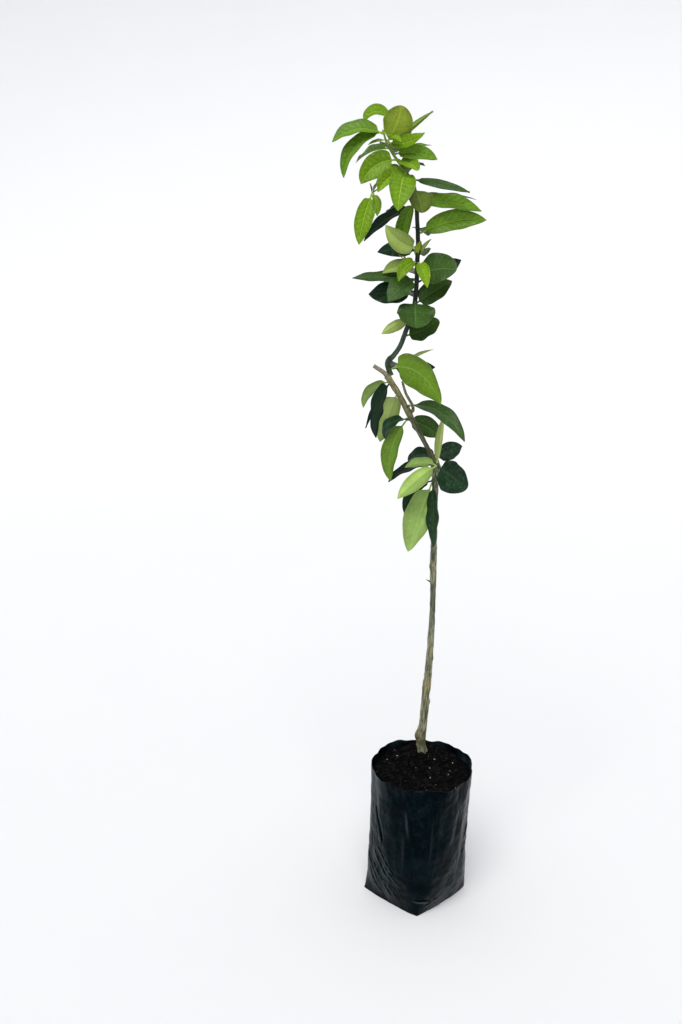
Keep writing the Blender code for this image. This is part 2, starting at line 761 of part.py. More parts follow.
def make_limbs():
    """The trunk, stub, side shoot and leader bough, and the paths that leaves grow on."""
    trunk_path = smooth_path(TRUNK)
    leader_path = smooth_path(LEADER)
    bough_path = part_of_path(leader_path, LEADER[0].z * MM, LEADER_BOUGH_TOP * MM)
    shoot_path = smooth_path(SIDE_SHOOT)
    trunk = tube("trunk", trunk_path, TRUNK_SIDES, flat_foot=True)
    finish(trunk, *FINISHES["trunk"])
    stub = tube("cut_stub", stub_path(trunk_path), LEADER_SIDES)
    finish(stub, *FINISHES["cut_stub"])
    shoot = tube("side_shoot", shoot_path, LEADER_SIDES)
    finish(shoot, *FINISHES["side_shoot"])
    leader = tube("leader", bough_path, LEADER_SIDES)
    finish(leader, *FINISHES["leader"])
    paths = {"trunk": trunk_path, "leader": leader_path, "leader_bough": bough_path}
    return [trunk, stub, shoot, leader], paths


def make_sprays(limbs, paths):
    """Every mass of leaves, each clear of the limbs and of the masses before it."""
    trees = [tree_of(limb) for limb in limbs]
    for seed, spray in enumerate(SPRAYS, start=1):
        stem = spray_stem(spray, paths)
        base = tube(spray.name, stem, LEADER_SIDES if spray.spur is None else TWIG_SIDES)
        join_pieces(base, spray_pieces(spray, seed, stem, trees))
        finish(base, mean_colour(spray), LEAF_ROUGHNESS)
        trees.append(tree_of(base))


def main():
    clear_scene()
    make_bag()
    make_soil()
    limbs, paths = make_limbs()
    make_sprays(limbs, paths)


main()
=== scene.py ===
"""The looks of a grafted lime sapling in a black film grow bag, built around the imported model.

Metres, +Z up, and -Y towards the camera; the frame stands on the middle of the bag's underside.
Headings are compass turns seen from above: 0 is +X, 90 is +Y, 180 is -X and 270 is the front.
Leaves are set out by the same rows and rule as the solids, and finished with finer shapes.
"""

import math
import random
from collections import namedtuple

import bpy
import numpy as np
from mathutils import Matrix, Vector, noise


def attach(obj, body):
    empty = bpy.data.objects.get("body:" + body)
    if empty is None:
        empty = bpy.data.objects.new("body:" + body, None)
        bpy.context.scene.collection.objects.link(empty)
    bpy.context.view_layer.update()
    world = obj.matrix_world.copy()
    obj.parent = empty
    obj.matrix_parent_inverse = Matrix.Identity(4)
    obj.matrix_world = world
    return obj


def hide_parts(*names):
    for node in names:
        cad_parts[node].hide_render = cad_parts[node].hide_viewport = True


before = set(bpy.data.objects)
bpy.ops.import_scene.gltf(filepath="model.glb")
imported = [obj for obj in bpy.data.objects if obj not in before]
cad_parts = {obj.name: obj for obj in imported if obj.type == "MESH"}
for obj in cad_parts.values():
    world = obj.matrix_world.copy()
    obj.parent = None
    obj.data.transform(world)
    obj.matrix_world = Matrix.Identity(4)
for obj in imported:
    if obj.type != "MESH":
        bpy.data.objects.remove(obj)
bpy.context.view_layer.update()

MM = 0.001
UP = Vector((0.0, 0.0, 1.0))

# Camera, worked out from the mouth of the bag and its lower corners
CAMERA_PLACE = (-0.1133, -1.313, 1.03)
CAMERA_PITCH = 17.6
CAMERA_LENS = 35.2
SENSOR_LONG_SIDE = 36.0

# Floor, and the sweep round it that turns up into a plain wall
FLOOR_RADIUS = 2.1
FLOOR_SIDES = 128
SWEEP_RADIUS = 2.2
SWEEP_STEPS = 24
SWEEP_TOP = 2.9

# The pale surround and one broad sun, its heading, height and spread in degrees
SURROUND = 0.66
SURROUND_COLOUR = (0.94, 0.97, 1.0)
SUN_HEADING = 254.0
SUN_HEIGHT = 58.0
SUN_SPREAD = 40.0
SUN_POWER = 2.15
SUN_COLOUR = (1.0, 0.985, 0.965)

# Grow bag: its plain form and wavy rim, the dent in its right side, its film and its mesh
BAG_HEIGHT = 0.217
RIM_RADIUS = 0.075
RIM_SHIFT = 0.008
WAIST = 0.0012
BASE_HALF_WIDTH = 0.077
BASE_HALF_DEPTH = 0.067
BASE_SQUARENESS = 1.12
SQUARE_FADES_AT = 0.105
RIM_WAVE = 0.0018
RIM_SIDES = 9
RIM_FLATS = 0.0022
SIDE_DENT = 0.0036
SIDE_DENT_ARC = 0.55
FILM = 0.0005
BAG_SIDES = 400
BAG_RINGS = 200
INNER_RINGS = 24
BOTTOM_RINGS = 6

# Factors on the creases' depths and widths. The film's painted crease light, painted highlight on ridges
# and painted shade in folds, runs from none to full over a relief, taken against the mean of so many
# columns to each side and so many rings above and below
CREASE_DEEPER = 1.4
CREASE_NARROWER = 0.8
CREASE_LIGHT_RELIEF = 0.0011
CREASE_LIGHT_ASIDE = 5
CREASE_LIGHT_ABOVE = 6

# Potting mix
SOIL_LEVEL = 0.204
SOIL_HEAP = 0.0105
HEAP_RADIUS = 0.026
FOOT_RADIUS = 0.013
SOIL_SIDES = 240
SOIL_RINGS = 90
SOIL_SIDE_RINGS = 50
SOIL_SIDE_TOP = 0.196
SOIL_SUNK = 0.0006
CHIPS = 420
PERLITE = 28
GRAIN_SIDES = 9
GRAIN_RINGS = 7
GRAIN_REACH = 0.91
FIBRES = 20
FIBRE_STEPS = 8
FIBRE_REACH = 0.82

# Limbs
TRUNK_SIDES = 40
LEADER_SIDES = 24
TWIG_SIDES = 14
STEPS_BETWEEN_STATIONS = 14
TWIG_STEPS = 24
TWIG_TAPER = 0.35
SPUR_TAPER = 0.85
SPUR_SUNK = 0.0008
SPUR_STEPS = 8
CUT_CLEARANCE = 0.0004
KNOB_REACH = 2.5
FULL_BARK_RADIUS = 0.006
THORN_STEPS = 7
THORN_LEVEL = 0.496
THORN_HEADING = 196
BUD_STEPS = 8
BUD_LEVEL = 0.821
GRAFT = (0.006, 0.036, 0.234)
SCAR = (0.013, 0.037, 0.330)

# Leaves: stations down the blade, columns across it, and relief
BLADE_STEPS = 54
PETIOLE_STEPS = 7
COLUMNS = (-1.0, -0.95, -0.84, -0.68, -0.51, -0.35, -0.21, -0.11, -0.045)
PETIOLE_SHARE = 0.10
PETIOLE_WIDTH = 0.0017
ROOT_SUNK = 0.6
STOUT_SHARE = 0.62
ROUND_POWER = 0.5
SLIM_POWER = 0.5
SLIM_POINT = 0.25
BROADEST_LOW = 0.82
BLADE_THICKNESS = 0.00042
VEIN_PAIRS = 9.0
VEIN_SLANT = 1.5
VEIN_CURVE = 0.8
QUILT = 0.00055
RIB_WIDTH = 0.0009
RIB_SUNK = 0.00028
RIB_RAISED = 0.00055
BUDDING_LENGTH = 40

# One ring round a blade: across its upper face, then back across its under face
ACROSS = np.array([*COLUMNS, 0.0, *(-u for u in reversed(COLUMNS))])
RING_ACROSS = np.concatenate((ACROSS, ACROSS[-2:0:-1]))
RING_FACE = np.concatenate((np.ones(len(ACROSS)), -np.ones(len(ACROSS) - 2)))
RING_SIDES = len(RING_ACROSS)
UPPER_FACES = len(ACROSS) - 1

# Painted sheen: greyish flecks on upper faces for the gloss of the leaves, strongest on dark leaves and
# gone at this much green
PAINTED_SHEEN = 0.5
PAINTED_SHEEN_FADES_AT = 0.25
PAINTED_SHEEN_COLOUR = (0.070, 0.125, 0.070)

# Leaves on the side that the front doesn't show, dealt out by a seeded rule
BACK_ARC = (55.0, 125.0)
BACK_SEED_TURN = 31.0
BACK_LEAF_TURN = 135.0
BACK_RISE = 12.0
BACK_LENGTH = (58.0, 76.0)
BACK_BEND = (25.0, 50.0)
BACK_WIDTH_SHARE = 0.42

Station = namedtuple("Station", "z x y d")
Leaf = namedtuple("Leaf", "share heading rise bend tilt length width tone")
Twig = namedtuple("Twig", "share heading rise bend length d leaves")
Spray = namedtuple("Spray", "name limb low high spur twigs back leaves")
Crease = namedtuple("Crease", "turn z to_turn to_z depth width")
Knob = namedtuple("Knob", "z turn height width")
Tone = namedtuple("Tone", "fold upper under vein rough wave quilt")
Pattern = namedtuple("Pattern", "across turn midrib sides net patches spots bloom tint dim")


def rows_of(kind, *rows):
    """Plain rows made into named ones of a kind."""
    return tuple(kind(*row) for row in rows)


# Each kind of leaf: fold in degrees, colours above, beneath and along the veins, roughness,
# and how strongly its margin waves and its blade swells between the veins
TONES = {
    "bud": Tone(30.0, (0.36, 0.24, 0.09), (0.33, 0.24, 0.10), (0.36, 0.30, 0.12), 0.5, 0.0, 0.0),
    "young": Tone(30.0, (0.175, 0.365, 0.006), (0.27, 0.38, 0.040), (0.38, 0.54, 0.06), 0.42, 0.5, 1.0),
    "pale": Tone(24.0, (0.355, 0.510, 0.130), (0.39, 0.53, 0.16), (0.41, 0.53, 0.17), 0.55, 0.5, 0.4),
    "mid": Tone(22.0, (0.120, 0.285, 0.012), (0.20, 0.31, 0.05), (0.28, 0.45, 0.05), 0.40, 0.8, 1.0),
    "light": Tone(14.0, (0.270, 0.460, 0.080), (0.37, 0.58, 0.15), (0.40, 0.58, 0.17), 0.55, 0.8, 0.4),
    "fresh": Tone(14.0, (0.130, 0.280, 0.010), (0.16, 0.31, 0.03), (0.24, 0.39, 0.07), 0.50, 0.8, 0.3),
    "olive": Tone(12.0, (0.100, 0.160, 0.010), (0.17, 0.23, 0.05), (0.17, 0.25, 0.03), 0.45, 0.7, 0.5),
    "green": Tone(12.0, (0.042, 0.105, 0.016), (0.12, 0.18, 0.06), (0.10, 0.19, 0.04), 0.40, 0.9, 0.7),
    "dark": Tone(12.0, (0.007, 0.036, 0.014), (0.10, 0.16, 0.06), (0.035, 0.085, 0.032), 0.36, 1.0, 0.6),
    # The deep tone is painted shade: a near-black tone, undersides too, for leaves that stand in shade
    "deep": Tone(12.0, (0.004, 0.020, 0.010), (0.007, 0.028, 0.013), (0.020, 0.048, 0.022), 0.36, 1.0, 0.5),
}
LEAF_SLOTS = {name: (2 * k, 2 * k + 1) for k, name in enumerate(TONES)}

# The trunk from the flat cut on the soil to the pruned top, in millimetres
TRUNK = rows_of(
    Station,
    (211, 12, 45, 18),
    (218, 11, 45, 14.5),
    (229, 9, 45, 13.5),
    (241, 8.5, 44, 17),
    (251, 10, 44, 14.5),
    (263, 12, 44, 12.5),
    (300, 14, 43, 12),
    (328, 15.5, 43, 13),
    (345, 17, 42, 11),
    (405, 19.5, 41, 9.6),
    (465, 20.5, 39, 8),
    (515, 19.5, 36, 9.8),
    (560, 19, 33, 9),
    (610, 18, 30, 9),
    (655, 18, 27, 9.6),
    (676, 16, 25, 13.5),
    (693, 8, 24, 7.0),
    (714, -3, 21, 6.6),
    (737, -16, 19, 7.2),
    (748, -21.5, 18, 9),
    (760, -28, 16, 8.2),
    (778, -38, 14, 8.2),
    (800, -52, 12, 8.6),
)

# The leader above the fork, from where it leaves the back of the trunk to the growing tip
LEADER = rows_of(
    Station,
    (799, -46.2, 19, 7.4),
    (807, -49.5, 19.5, 7.6),
    (818, -50.5, 17, 8.2),
    (828, -42.5, 14, 6.9),
    (841, -34.5, 12, 6.5),
    (863, -27, 10, 6.3),
    (884, -19.5, 10, 6.2),
    (900, -17, 9, 6.2),
    (925, -15.5, 9, 6.0),
    (948, -15.5, 8, 6.0),
    (969, -15, 7, 5.8),
    (993, -16.5, 6, 5.6),
    (1018, -18.5, 4, 5.2),
    (1039, -22, 3, 4.8),
    (1053, -30, 2, 4.2),
    (1066, -40, 2, 3.8),
    (1079, -50, 1, 3.3),
    (1092, -57.5, 0, 2.8),
    (1103, -61, 0, 2.0),
)
LEADER_BOUGH_TOP = 850

# The thin grey stub that runs on from the pruned top, and the short shoot beside the trunk
STUB = rows_of(
    Station,
    (800, -52, 12, 6.2),
    (804, -56, 12, 6.2),
    (808, -62, 12, 6.0),
    (813, -70, 12, 5.6),
)
SIDE_SHOOT = rows_of(
    Station,
    (750, -19.5, 17.2, 4.8),
    (752, -16.2, 16.5, 4.6),
    (760, -17.5, 15.5, 4.2),
    (775, -26, 13, 3.8),
    (790, -31, 11, 3.2),
)

# Masses of leaves: the limb, and either the stretch of it that the mass takes as its stem, or one
# height and the heading, rise, length and thickness of a spur. Then twigs, the number of leaves that
# the rule adds at the back, and leaves by share of the stem, heading, rise, bend, tilt, length and
# width. Sizes are in millimetres and turns in degrees
SPRAYS = (
    Spray("foliage_tip", "leader", 1048, 1103, None, (
        Twig(0.08, 186, -15, 20, 50, 2.6, (
            Leaf(0.97, 300, -55, 30, 10, 30, 14, "young"),
            Leaf(0.99, 225, -58, 22, 45, 66, 27, "young"),
            Leaf(1.0, 130, 70, 0, 0, 12, 4, "young"),
        )),
        Twig(1.0, 40, 50, -20, 17, 2.0, (
            Leaf(1.0, 178, 66, 145, 60, 40, 18, "young"),
        )),
    ), 2, (
        Leaf(0.95, 187, 28, 72, 42, 69, 27, "mid"),
        Leaf(1.0, 185, -6, 83, 45, 79, 25, "mid"),
        Leaf(0.80, 305, 36, -40, -45, 50, 44, "young"),
        Leaf(0.7, 24, 41, 10, -98, 74, 8, "mid"),
        Leaf(0.81, 338, -15, -54, 62, 51, 20, "young"),
        Leaf(0.99, 318, -15, 15, 35, 30, 13, "young"),
        Leaf(0.56, 345, 12, 38, 68, 56, 22, "mid"),
        Leaf(0.60, 20, 15, 10, 15, 53, 20, "mid"),
        Leaf(0.42, 318, -5, 30, 40, 35, 22, "young"),
        Leaf(0.36, 25, 3, 15, 0, 36, 20, "dark"),
        Leaf(0.86, 185, -8, 15, 20, 22, 8, "young"),
        Leaf(0.50, 318, -40, 10, 20, 25, 8, "young"),
        Leaf(0.43, 193, 4, 72, 76, 57, 35, "young"),
        Leaf(0.68, 145, 5, 45, 25, 54, 28, "mid"),
        Leaf(0.10, 212, 12, 75, 55, 52, 22, "young"),
        Leaf(0.24, 140, -4, 55, 30, 58, 28, "mid"),
        Leaf(0.17, 255, -22, 52, 20, 64, 38, "young"),
    )),
    Spray("foliage_shoulder", "leader", 1000, 1048, None, (), 2, (
        Leaf(0.75, 287, -25, 46, -7, 39, 37, "olive"),
        Leaf(1.0, 350, -7, 10, 63, 75, 12, "green"),
        Leaf(0.60, 25, 5, 18, 5, 89, 18, "dark"),
        Leaf(0.40, 5, 7, 28, 60, 84, 24, "mid"),
        Leaf(0.33, 150, -10, 42, -25, 88, 20, "deep"),
        Leaf(0.47, 147, -48, 58, 102, 69, 21, "mid"),
    )),
    Spray("foliage_upper", "leader", 945, 1000, None, (
        Twig(0.02, 188, 22, 10, 20, 1.8, (
            Leaf(0.8, 230, 40, 20, 0, 9, 4, "bud"),
            Leaf(1.0, 180, 50, 20, 0, 8, 4, "bud"),
        )),
    ), 2, (
        Leaf(0.66, 6, 29, 36, 77, 90, 29, "mid"),
        Leaf(0.37, 213, 4, -51, 103, 59, 28, "pale"),
        Leaf(0.27, 175, 16, 34, 90, 51, 20, "dark"),
        Leaf(0.08, 285, 75, 20, 0, 26, 12, "young"),
        Leaf(0.12, 15, 58, 10, 20, 29, 10, "pale"),
        Leaf(0.03, 221, 8, 85, 55, 42, 19, "young"),
        Leaf(0.04, 288, -15, 50, 20, 46, 19, "young"),
    )),
    Spray("foliage_middle", "leader", 888, 945, None, (), 2, (
        Leaf(0.66, 180, 5, 8, 35, 82, 24, "green"),
        Leaf(0.85, 180, 30, 70, 63, 46, 20, "pale"),
        Leaf(0.4, 165, -6, -2, 64, 62, 34, "dark"),
        Leaf(0.66, 212, -10, 42, 40, 51, 31, "green"),
        Leaf(0.72, 328, 30, 40, 60, 57, 43, "green"),
        Leaf(0.58, 28, 22, 1, 71, 72, 27, "deep"),
        Leaf(0.1, 359, 35, 6, 53, 55, 34, "green"),
        Leaf(0.21, 268, -41, -16, 6, 55, 50, "green"),
    )),
    Spray("foliage_lower", "leader", 850, 888, None, (), 1, (
        Leaf(0.65, 189, -16, 20, -120, 41, 17, "pale"),
        Leaf(0.07, 355, 12, -27, 48, 49, 37, "green"),
    )),
    Spray("foliage_fork_right", "leader_bough", 809, None, (300, 20, 3, 3.4), (), 0, (
        Leaf(0.91, 309, 22, 83, 88, 109, 47, "fresh"),
        Leaf(0.84, 25, 21, 4, -21, 67, 20, "pale"),
        Leaf(0.59, 16, 0, 2, 77, 62, 22, "deep"),
        Leaf(0.7, 66, 12, 45, 0, 66, 28, "deep"),
    )),
    Spray("foliage_fork_left", "trunk", 790, None, (120, 25, 4, 3.6), (), 0, (
        Leaf(0.9, 242, -19, 79, -95, 86, 34, "deep"),
        Leaf(0.91, 166, -4, 82, -44, 56, 19, "light"),
        Leaf(0.7, 148, -52, 17, -21, 77, 10, "deep"),
    )),
    Spray("foliage_fork_back", "trunk", 776, None, (80, 0, 4, 3.2), (), 0, (
        Leaf(0.9, 163, -67, 8, -62, 75, 36, "pale"),
    )),
    Spray("foliage_bend_right", "trunk", 757, None, (312, 20, 3, 3.2), (), 0, (
        Leaf(0.5, 313, 20, 75, 20, 112, 27, "green"),
    )),
    Spray("foliage_bend_left", "trunk", 742, None, (205, 0, 4, 3.2), (), 0, (
        Leaf(0.83, 204, -45, 59, -87, 89, 28, "fresh"),
        Leaf(0.7, 198, 20, 120, 20, 48, 24, "dark"),
    )),
    Spray("foliage_bend_back", "trunk", 739, None, (125, 0, 9, 3.2), (), 0, (
        Leaf(0.95, 12, -14, 30, 88, 56, 28, "green"),
    )),
    Spray("foliage_knob_front", "trunk", 676, None, (280, 10, 4, 3.8), (), 0, (
        Leaf(0.8, 285, 80, 8, 0, 72, 13, "pale"),
        Leaf(0.83, 184, 23, 52, -70, 45, 18, "light"),
        Leaf(0.92, 220, -15, 19, -134, 80, 24, "light"),
        Leaf(0.77, 316, -24, -6, 83, 57, 45, "dark"),
        Leaf(0.8, 172, 8, 60, -50, 74, 24, "deep"),
    )),
    Spray("foliage_knob_back", "trunk", 677, None, (75, 10, 4, 3.4), (), 0, (
        Leaf(0.87, 26, 33, 27, 70, 45, 26, "dark"),
        Leaf(0.8, 165, 40, 95, 30, 44, 28, "dark"),
        Leaf(0.9, 95, 10, 60, 0, 74, 32, "dark"),
    )),
    Spray("foliage_hanging", "trunk", 652, None, (235, 10, 4, 3.4), (), 0, (
        Leaf(0.95, 208, -67, 4, -98, 103, 46, "light"),
        Leaf(0.9, 274, -60, 30, 60, 92, 30, "dark"),
        Leaf(0.39, 150, -14, 76, -63, 75, 17, "deep"),
    )),
)

# Creases in the film: from one heading and height to another, with depth and width, in millimetres
CREASES = rows_of(
    Crease,
    (203, 168, 219, 112, 2.2, 2.6),
    (198, 120, 206, 92, -1.2, 3.0),
    (200, 96, 232, 50, 1.3, 2.2),
    (206, 108, 238, 66, 0.9, 2.2),
    (196, 74, 229, 20, 1.4, 2.2),
    (212, 60, 240, 18, 0.8, 2.0),
    (190, 52, 214, 8, 1.0, 2.2),
    (354, 112, 326, 84, 0.9, 2.4),
    (352, 98, 318, 64, 1.3, 2.6),
    (350, 80, 312, 44, 1.1, 2.2),
    (352, 64, 316, 30, 1.3, 2.6),
    (346, 44, 318, 18, 1.0, 2.2),
    (350, 142, 334, 110, -0.8, 3.4),
    (204, 140, 212, 122, 1.4, 1.8),
    (186, 84, 206, 40, 1.2, 1.8),
    (218, 84, 244, 46, 0.8, 1.8),
    (352, 150, 340, 128, 1.0, 2.2),
    (262, 30, 290, 22, 0.9, 2.4),
    (276, 16, 296, 24, 0.8, 2.0),
    (250, 190, 262, 120, 0.3, 4.0),
    (285, 200, 281, 70, 0.3, 5.0),
    (238, 170, 246, 60, 0.3, 5.0),
    (318, 180, 306, 110, 0.35, 4.5),
    (100, 90, 62, 40, 0.9, 3.0),
    (120, 60, 92, 24, 0.8, 3.0),
    (160, 110, 128, 60, 0.9, 3.0),
    (168, 70, 140, 26, 0.8, 3.0),
    (20, 100, 52, 56, 0.9, 3.0),
    (12, 66, 44, 22, 0.8, 3.0),
    (76, 190, 84, 100, 0.7, 4.5),
    (140, 196, 134, 110, 0.7, 4.5),
)

# Swellings and scars on the trunk, in millimetres, with headings in degrees
KNOBS = rows_of(
    Knob,
    (300, 0, 1.6, 4.0),
    (243, 190, 1.2, 5.0),
    (247, 300, -0.9, 2.2),
    (326, 265, -0.8, 3.2),
    (331, 262, 0.7, 2.2),
    (345, 195, 0.9, 3.5),
    (372, 350, 0.9, 3.0),
    (420, 250, 0.6, 3.0),
    (462, 200, 0.7, 4.0),
    (520, 190, 1.2, 5.0),
    (566, 190, 0.8, 4.0),
    (590, 180, 1.0, 4.0),
    (640, 60, 1.0, 4.0),
    (672, 340, 1.4, 4.0),
    (715, 80, 0.9, 3.0),
    (744, 250, 1.0, 3.0),
    (781, 250, 0.7, 2.6),
)


class Piece:
    """One joined mesh: points, faces, maps, grain, tints and a material slot for each face.

    The grain is a place of each point within its own tube or leaf, for patterns that run with it.
    """

    def __init__(self):
        self.points = []
        self.maps = []
        self.grains = []
        self.tints = []
        self.faces = []
        self.slots = []
        self.count = 0

    def add(self, points, faces, slots, maps=None, tint=0.5, grain=None):
        """Add loose points and faces; slots is one number, or one number for each face."""
        points = np.asarray(points, float).reshape(-1, 3)
        self.points.append(points)
        self.maps.append(np.zeros((len(points), 2)) if maps is None else np.asarray(maps, float))
        self.grains.append(points if grain is None else np.asarray(grain, float))
        self.tints.append(np.full(len(points), tint))
        self.faces += [tuple(int(i) + self.count for i in face) for face in faces]
        self.slots += [slots] * len(faces) if isinstance(slots, int) else list(slots)
        self.count += len(points)

    def build(self, name, materials, smooth_angle=60.0):
        """Make the object, with the map 'blade' and the attributes 'tint' and 'grain'."""
        points = np.concatenate(self.points)
        maps = np.concatenate(self.maps)
        mesh = bpy.data.meshes.new(name)
        mesh.from_pydata(points.tolist(), [], self.faces)
        corners = np.zeros(len(mesh.loops), int)
        mesh.loops.foreach_get("vertex_index", corners)
        layer = mesh.uv_layers.new(name="blade")
        layer.data.foreach_set("uv", maps[corners].ravel())
        tint = mesh.attributes.new("tint", "FLOAT", "POINT")
        tint.data.foreach_set("value", np.concatenate(self.tints))
        grain = mesh.attributes.new("grain", "FLOAT_VECTOR", "POINT")
        grain.data.foreach_set("vector", np.concatenate(self.grains).ravel())
        for material in materials:
            mesh.materials.append(material)
        mesh.polygons.foreach_set("material_index", np.array(self.slots, np.int32))
        mesh.shade_smooth()
        mesh.set_sharp_from_angle(angle=math.radians(smooth_angle))
        mesh.update()
        return in_scene(name, mesh)


def in_scene(name, data):
    """A new object in the scene."""
    thing = bpy.data.objects.new(name, data)
    bpy.context.scene.collection.objects.link(thing)
    return thing


def belongs(piece, slot, *nodes):
    """A piece rides on the one body and stands for CAD nodes, whose parts it hides; its slot is not used.
    """
    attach(piece, "root")
    if nodes:
        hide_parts(*nodes)
    return piece


def tube_faces(rings, sides, outward=True, caps=True):
    """Quads over rings of points, with flat ends."""
    faces = []
    for k in range(rings - 1):
        for a in range(sides):
            b = (a + 1) % sides
            quad = (k * sides + a, k * sides + b, (k + 1) * sides + b, (k + 1) * sides + a)
            faces.append(quad if outward else quad[::-1])
    if caps:
        last = (rings - 1) * sides
        start = tuple(range(sides))
        end = tuple(range(last, last + sides))
        faces.append(start[::-1] if outward else start)
        faces.append(end if outward else end[::-1])
    return faces


def smoothstep(low, high, value):
    """A smooth ramp from 0 to 1 between two values."""
    t = np.clip((value - low) / (high - low), 0.0, 1.0)
    return t * t * (3.0 - 2.0 * t)


def fractions(steps):
    """Shares from 0 to 1 in even steps."""
    return [k / steps for k in range(steps + 1)]


def aim(heading, rise):
    """The unit vector at a compass heading and a rise above level, in degrees."""
    h, r = math.radians(heading), math.radians(rise)
    return Vector((math.cos(h) * math.cos(r), math.sin(h) * math.cos(r), math.sin(r)))


# Materials


class Nodes:
    """A short way to set out the nodes of one Principled material."""

    def __init__(self, name):
        self.material = bpy.data.materials.new(name)
        self.material.use_nodes = True
        self.tree = self.material.node_tree
        self.shader = self.tree.nodes["Principled BSDF"]

    def put(self, kind, inputs=None, **settings):
        """A node with its settings, and values or links for its inputs."""
        node = self.tree.nodes.new(kind)
        for key, value in settings.items():
            setattr(node, key, value)
        for key, value in (inputs or {}).items():
            self.join(value, node.inputs[key])
        return node

    def join(self, value, socket):
        """Link an output to a socket, or set the socket's own value."""
        if isinstance(value, bpy.types.NodeSocket):
            self.tree.links.new(value, socket)
        elif isinstance(value, tuple) and len(value) == 3 and socket.type == "RGBA":
            socket.default_value = (*value, 1.0)
        else:
            socket.default_value = value

    def maths(self, operation, a, b=0.0):
        """A Math node's output."""
        return self.put("ShaderNodeMath", {0: a, 1: b}, operation=operation).outputs[0]

    def times(self, a, b):
        """A product."""
        return self.maths("MULTIPLY", a, b)

    def plus(self, a, b):
        """A sum."""
        return self.maths("ADD", a, b)

    def ramp(self, value, low, high, to_low=0.0, to_high=1.0):
        """A smooth ramp of a value."""
        inputs = {"Value": value, "From Min": low, "From Max": high, "To Min": to_low, "To Max": to_high}
        node = self.put("ShaderNodeMapRange", inputs, interpolation_type="SMOOTHSTEP")
        return node.outputs["Result"]

    def tint(self):
        """The tint of each leaf, chip or tube, and on the film its painted crease light: painted highlight
        on ridges, painted shade in folds.
        """
        return self.put("ShaderNodeAttribute", attribute_name="tint").outputs["Fac"]

    def spot(self):
        """The place in the object's own metres."""
        return self.put("ShaderNodeTexCoord").outputs["Object"]

    def level(self):
        """The height in the object's own metres."""
        return self.put("ShaderNodeSeparateXYZ", {0: self.spot()}).outputs[2]

    def near(self, middle, reach, core):
        """A ramp from 0 at a reach to 1 at a core round a place."""
        node = self.put("ShaderNodeVectorMath", {0: self.spot(), 1: middle}, operation="DISTANCE")
        return self.ramp(node.outputs["Value"], reach, core)

    def place(self, x=1.0, y=1.0, z=1.0):
        """The grain's coordinates, stretched along their axes; a tube's third axis runs down it."""
        coordinates = self.put("ShaderNodeAttribute", attribute_name="grain").outputs["Vector"]
        return self.put("ShaderNodeMapping", {"Vector": coordinates, "Scale": (x, y, z)}).outputs[0]

    def noise(self, vector, scale, detail=3.0, rough=0.55):
        """A noise texture's value."""
        inputs = {"Vector": vector, "Scale": scale, "Detail": detail, "Roughness": rough}
        return self.put("ShaderNodeTexNoise", inputs).outputs["Fac"]

    def cells(self, vector, scale, feature="F1"):
        """A Voronoi texture's distance."""
        node = self.put("ShaderNodeTexVoronoi", {"Vector": vector, "Scale": scale}, feature=feature)
        return node.outputs["Distance"]

    def mix(self, share, a, b):
        """Two colours mixed."""
        node = self.put("ShaderNodeMix", data_type="RGBA")
        self.join(share, node.inputs[0])
        self.join(a, node.inputs[6])
        self.join(b, node.inputs[7])
        return node.outputs[2]

    def lay(self, base, colour, cover, share):
        """A colour laid over a base by a share of its cover."""
        return self.mix(self.times(cover, share), base, colour)

    def bump(self, height, strength, distance, normal=None):
        """A bump node's normal."""
        inputs = {"Height": height, "Strength": strength, "Distance": distance}
        if normal is not None:
            inputs["Normal"] = normal
        return self.put("ShaderNodeBump", inputs).outputs["Normal"]

    def finish(self, colour, rough, gloss, **others):
        """The material, with values or links on its shader's own inputs, named with _ for spaces."""
        values = {"Base_Color": colour, "Roughness": rough, "Specular_IOR_Level": gloss, **others}
        for key, value in values.items():
            self.join(value, self.shader.inputs[key.replace("_", " ")])
        return self.material


def blade_pattern(n):
    """Where a blade's midrib, slanting veins, fine net, mottling, painted sheen flecks and painted shaded
    half lie.
    """
    spot = n.put("ShaderNodeSeparateXYZ", {0: n.put("ShaderNodeUVMap", uv_map="blade").outputs[0]}).outputs
    across = n.maths("ABSOLUTE", n.maths("SUBTRACT", n.times(spot[0], 2.0), 1.0))
    place = n.place()
    tint = n.tint()
    wander = n.times(n.noise(place, 90.0), 0.05)
    slant = n.plus(n.times(n.maths("POWER", across, VEIN_CURVE), -VEIN_SLANT), wander)
    turn = n.maths("PINGPONG", n.plus(n.times(spot[1], VEIN_PAIRS), slant), 0.5)
    half = n.ramp(spot[0], 0.46, 0.54)
    return Pattern(
        across=across,
        turn=turn,
        midrib=n.ramp(n.plus(across, n.times(spot[1], 0.02)), 0.075, 0.02),
        sides=n.times(n.ramp(turn, 0.085, 0.0), n.ramp(across, 0.95, 0.45)),
        net=n.ramp(n.cells(place, 520.0, "DISTANCE_TO_EDGE"), 0.10, 0.0),
        patches=n.noise(place, 55.0, 4.0),
        spots=n.noise(place, 480.0, 3.0),
        # Where the painted sheen flecks lie
        bloom=n.ramp(n.noise(place, 210.0, 5.0, 0.72), 0.50, 0.64),
        tint=tint,
        # Painted shade: one half of each blade, picked by the leaf's tint
        dim=n.maths("ABSOLUTE", n.maths("SUBTRACT", half, n.maths("GREATER_THAN", tint, 0.5))),
    )


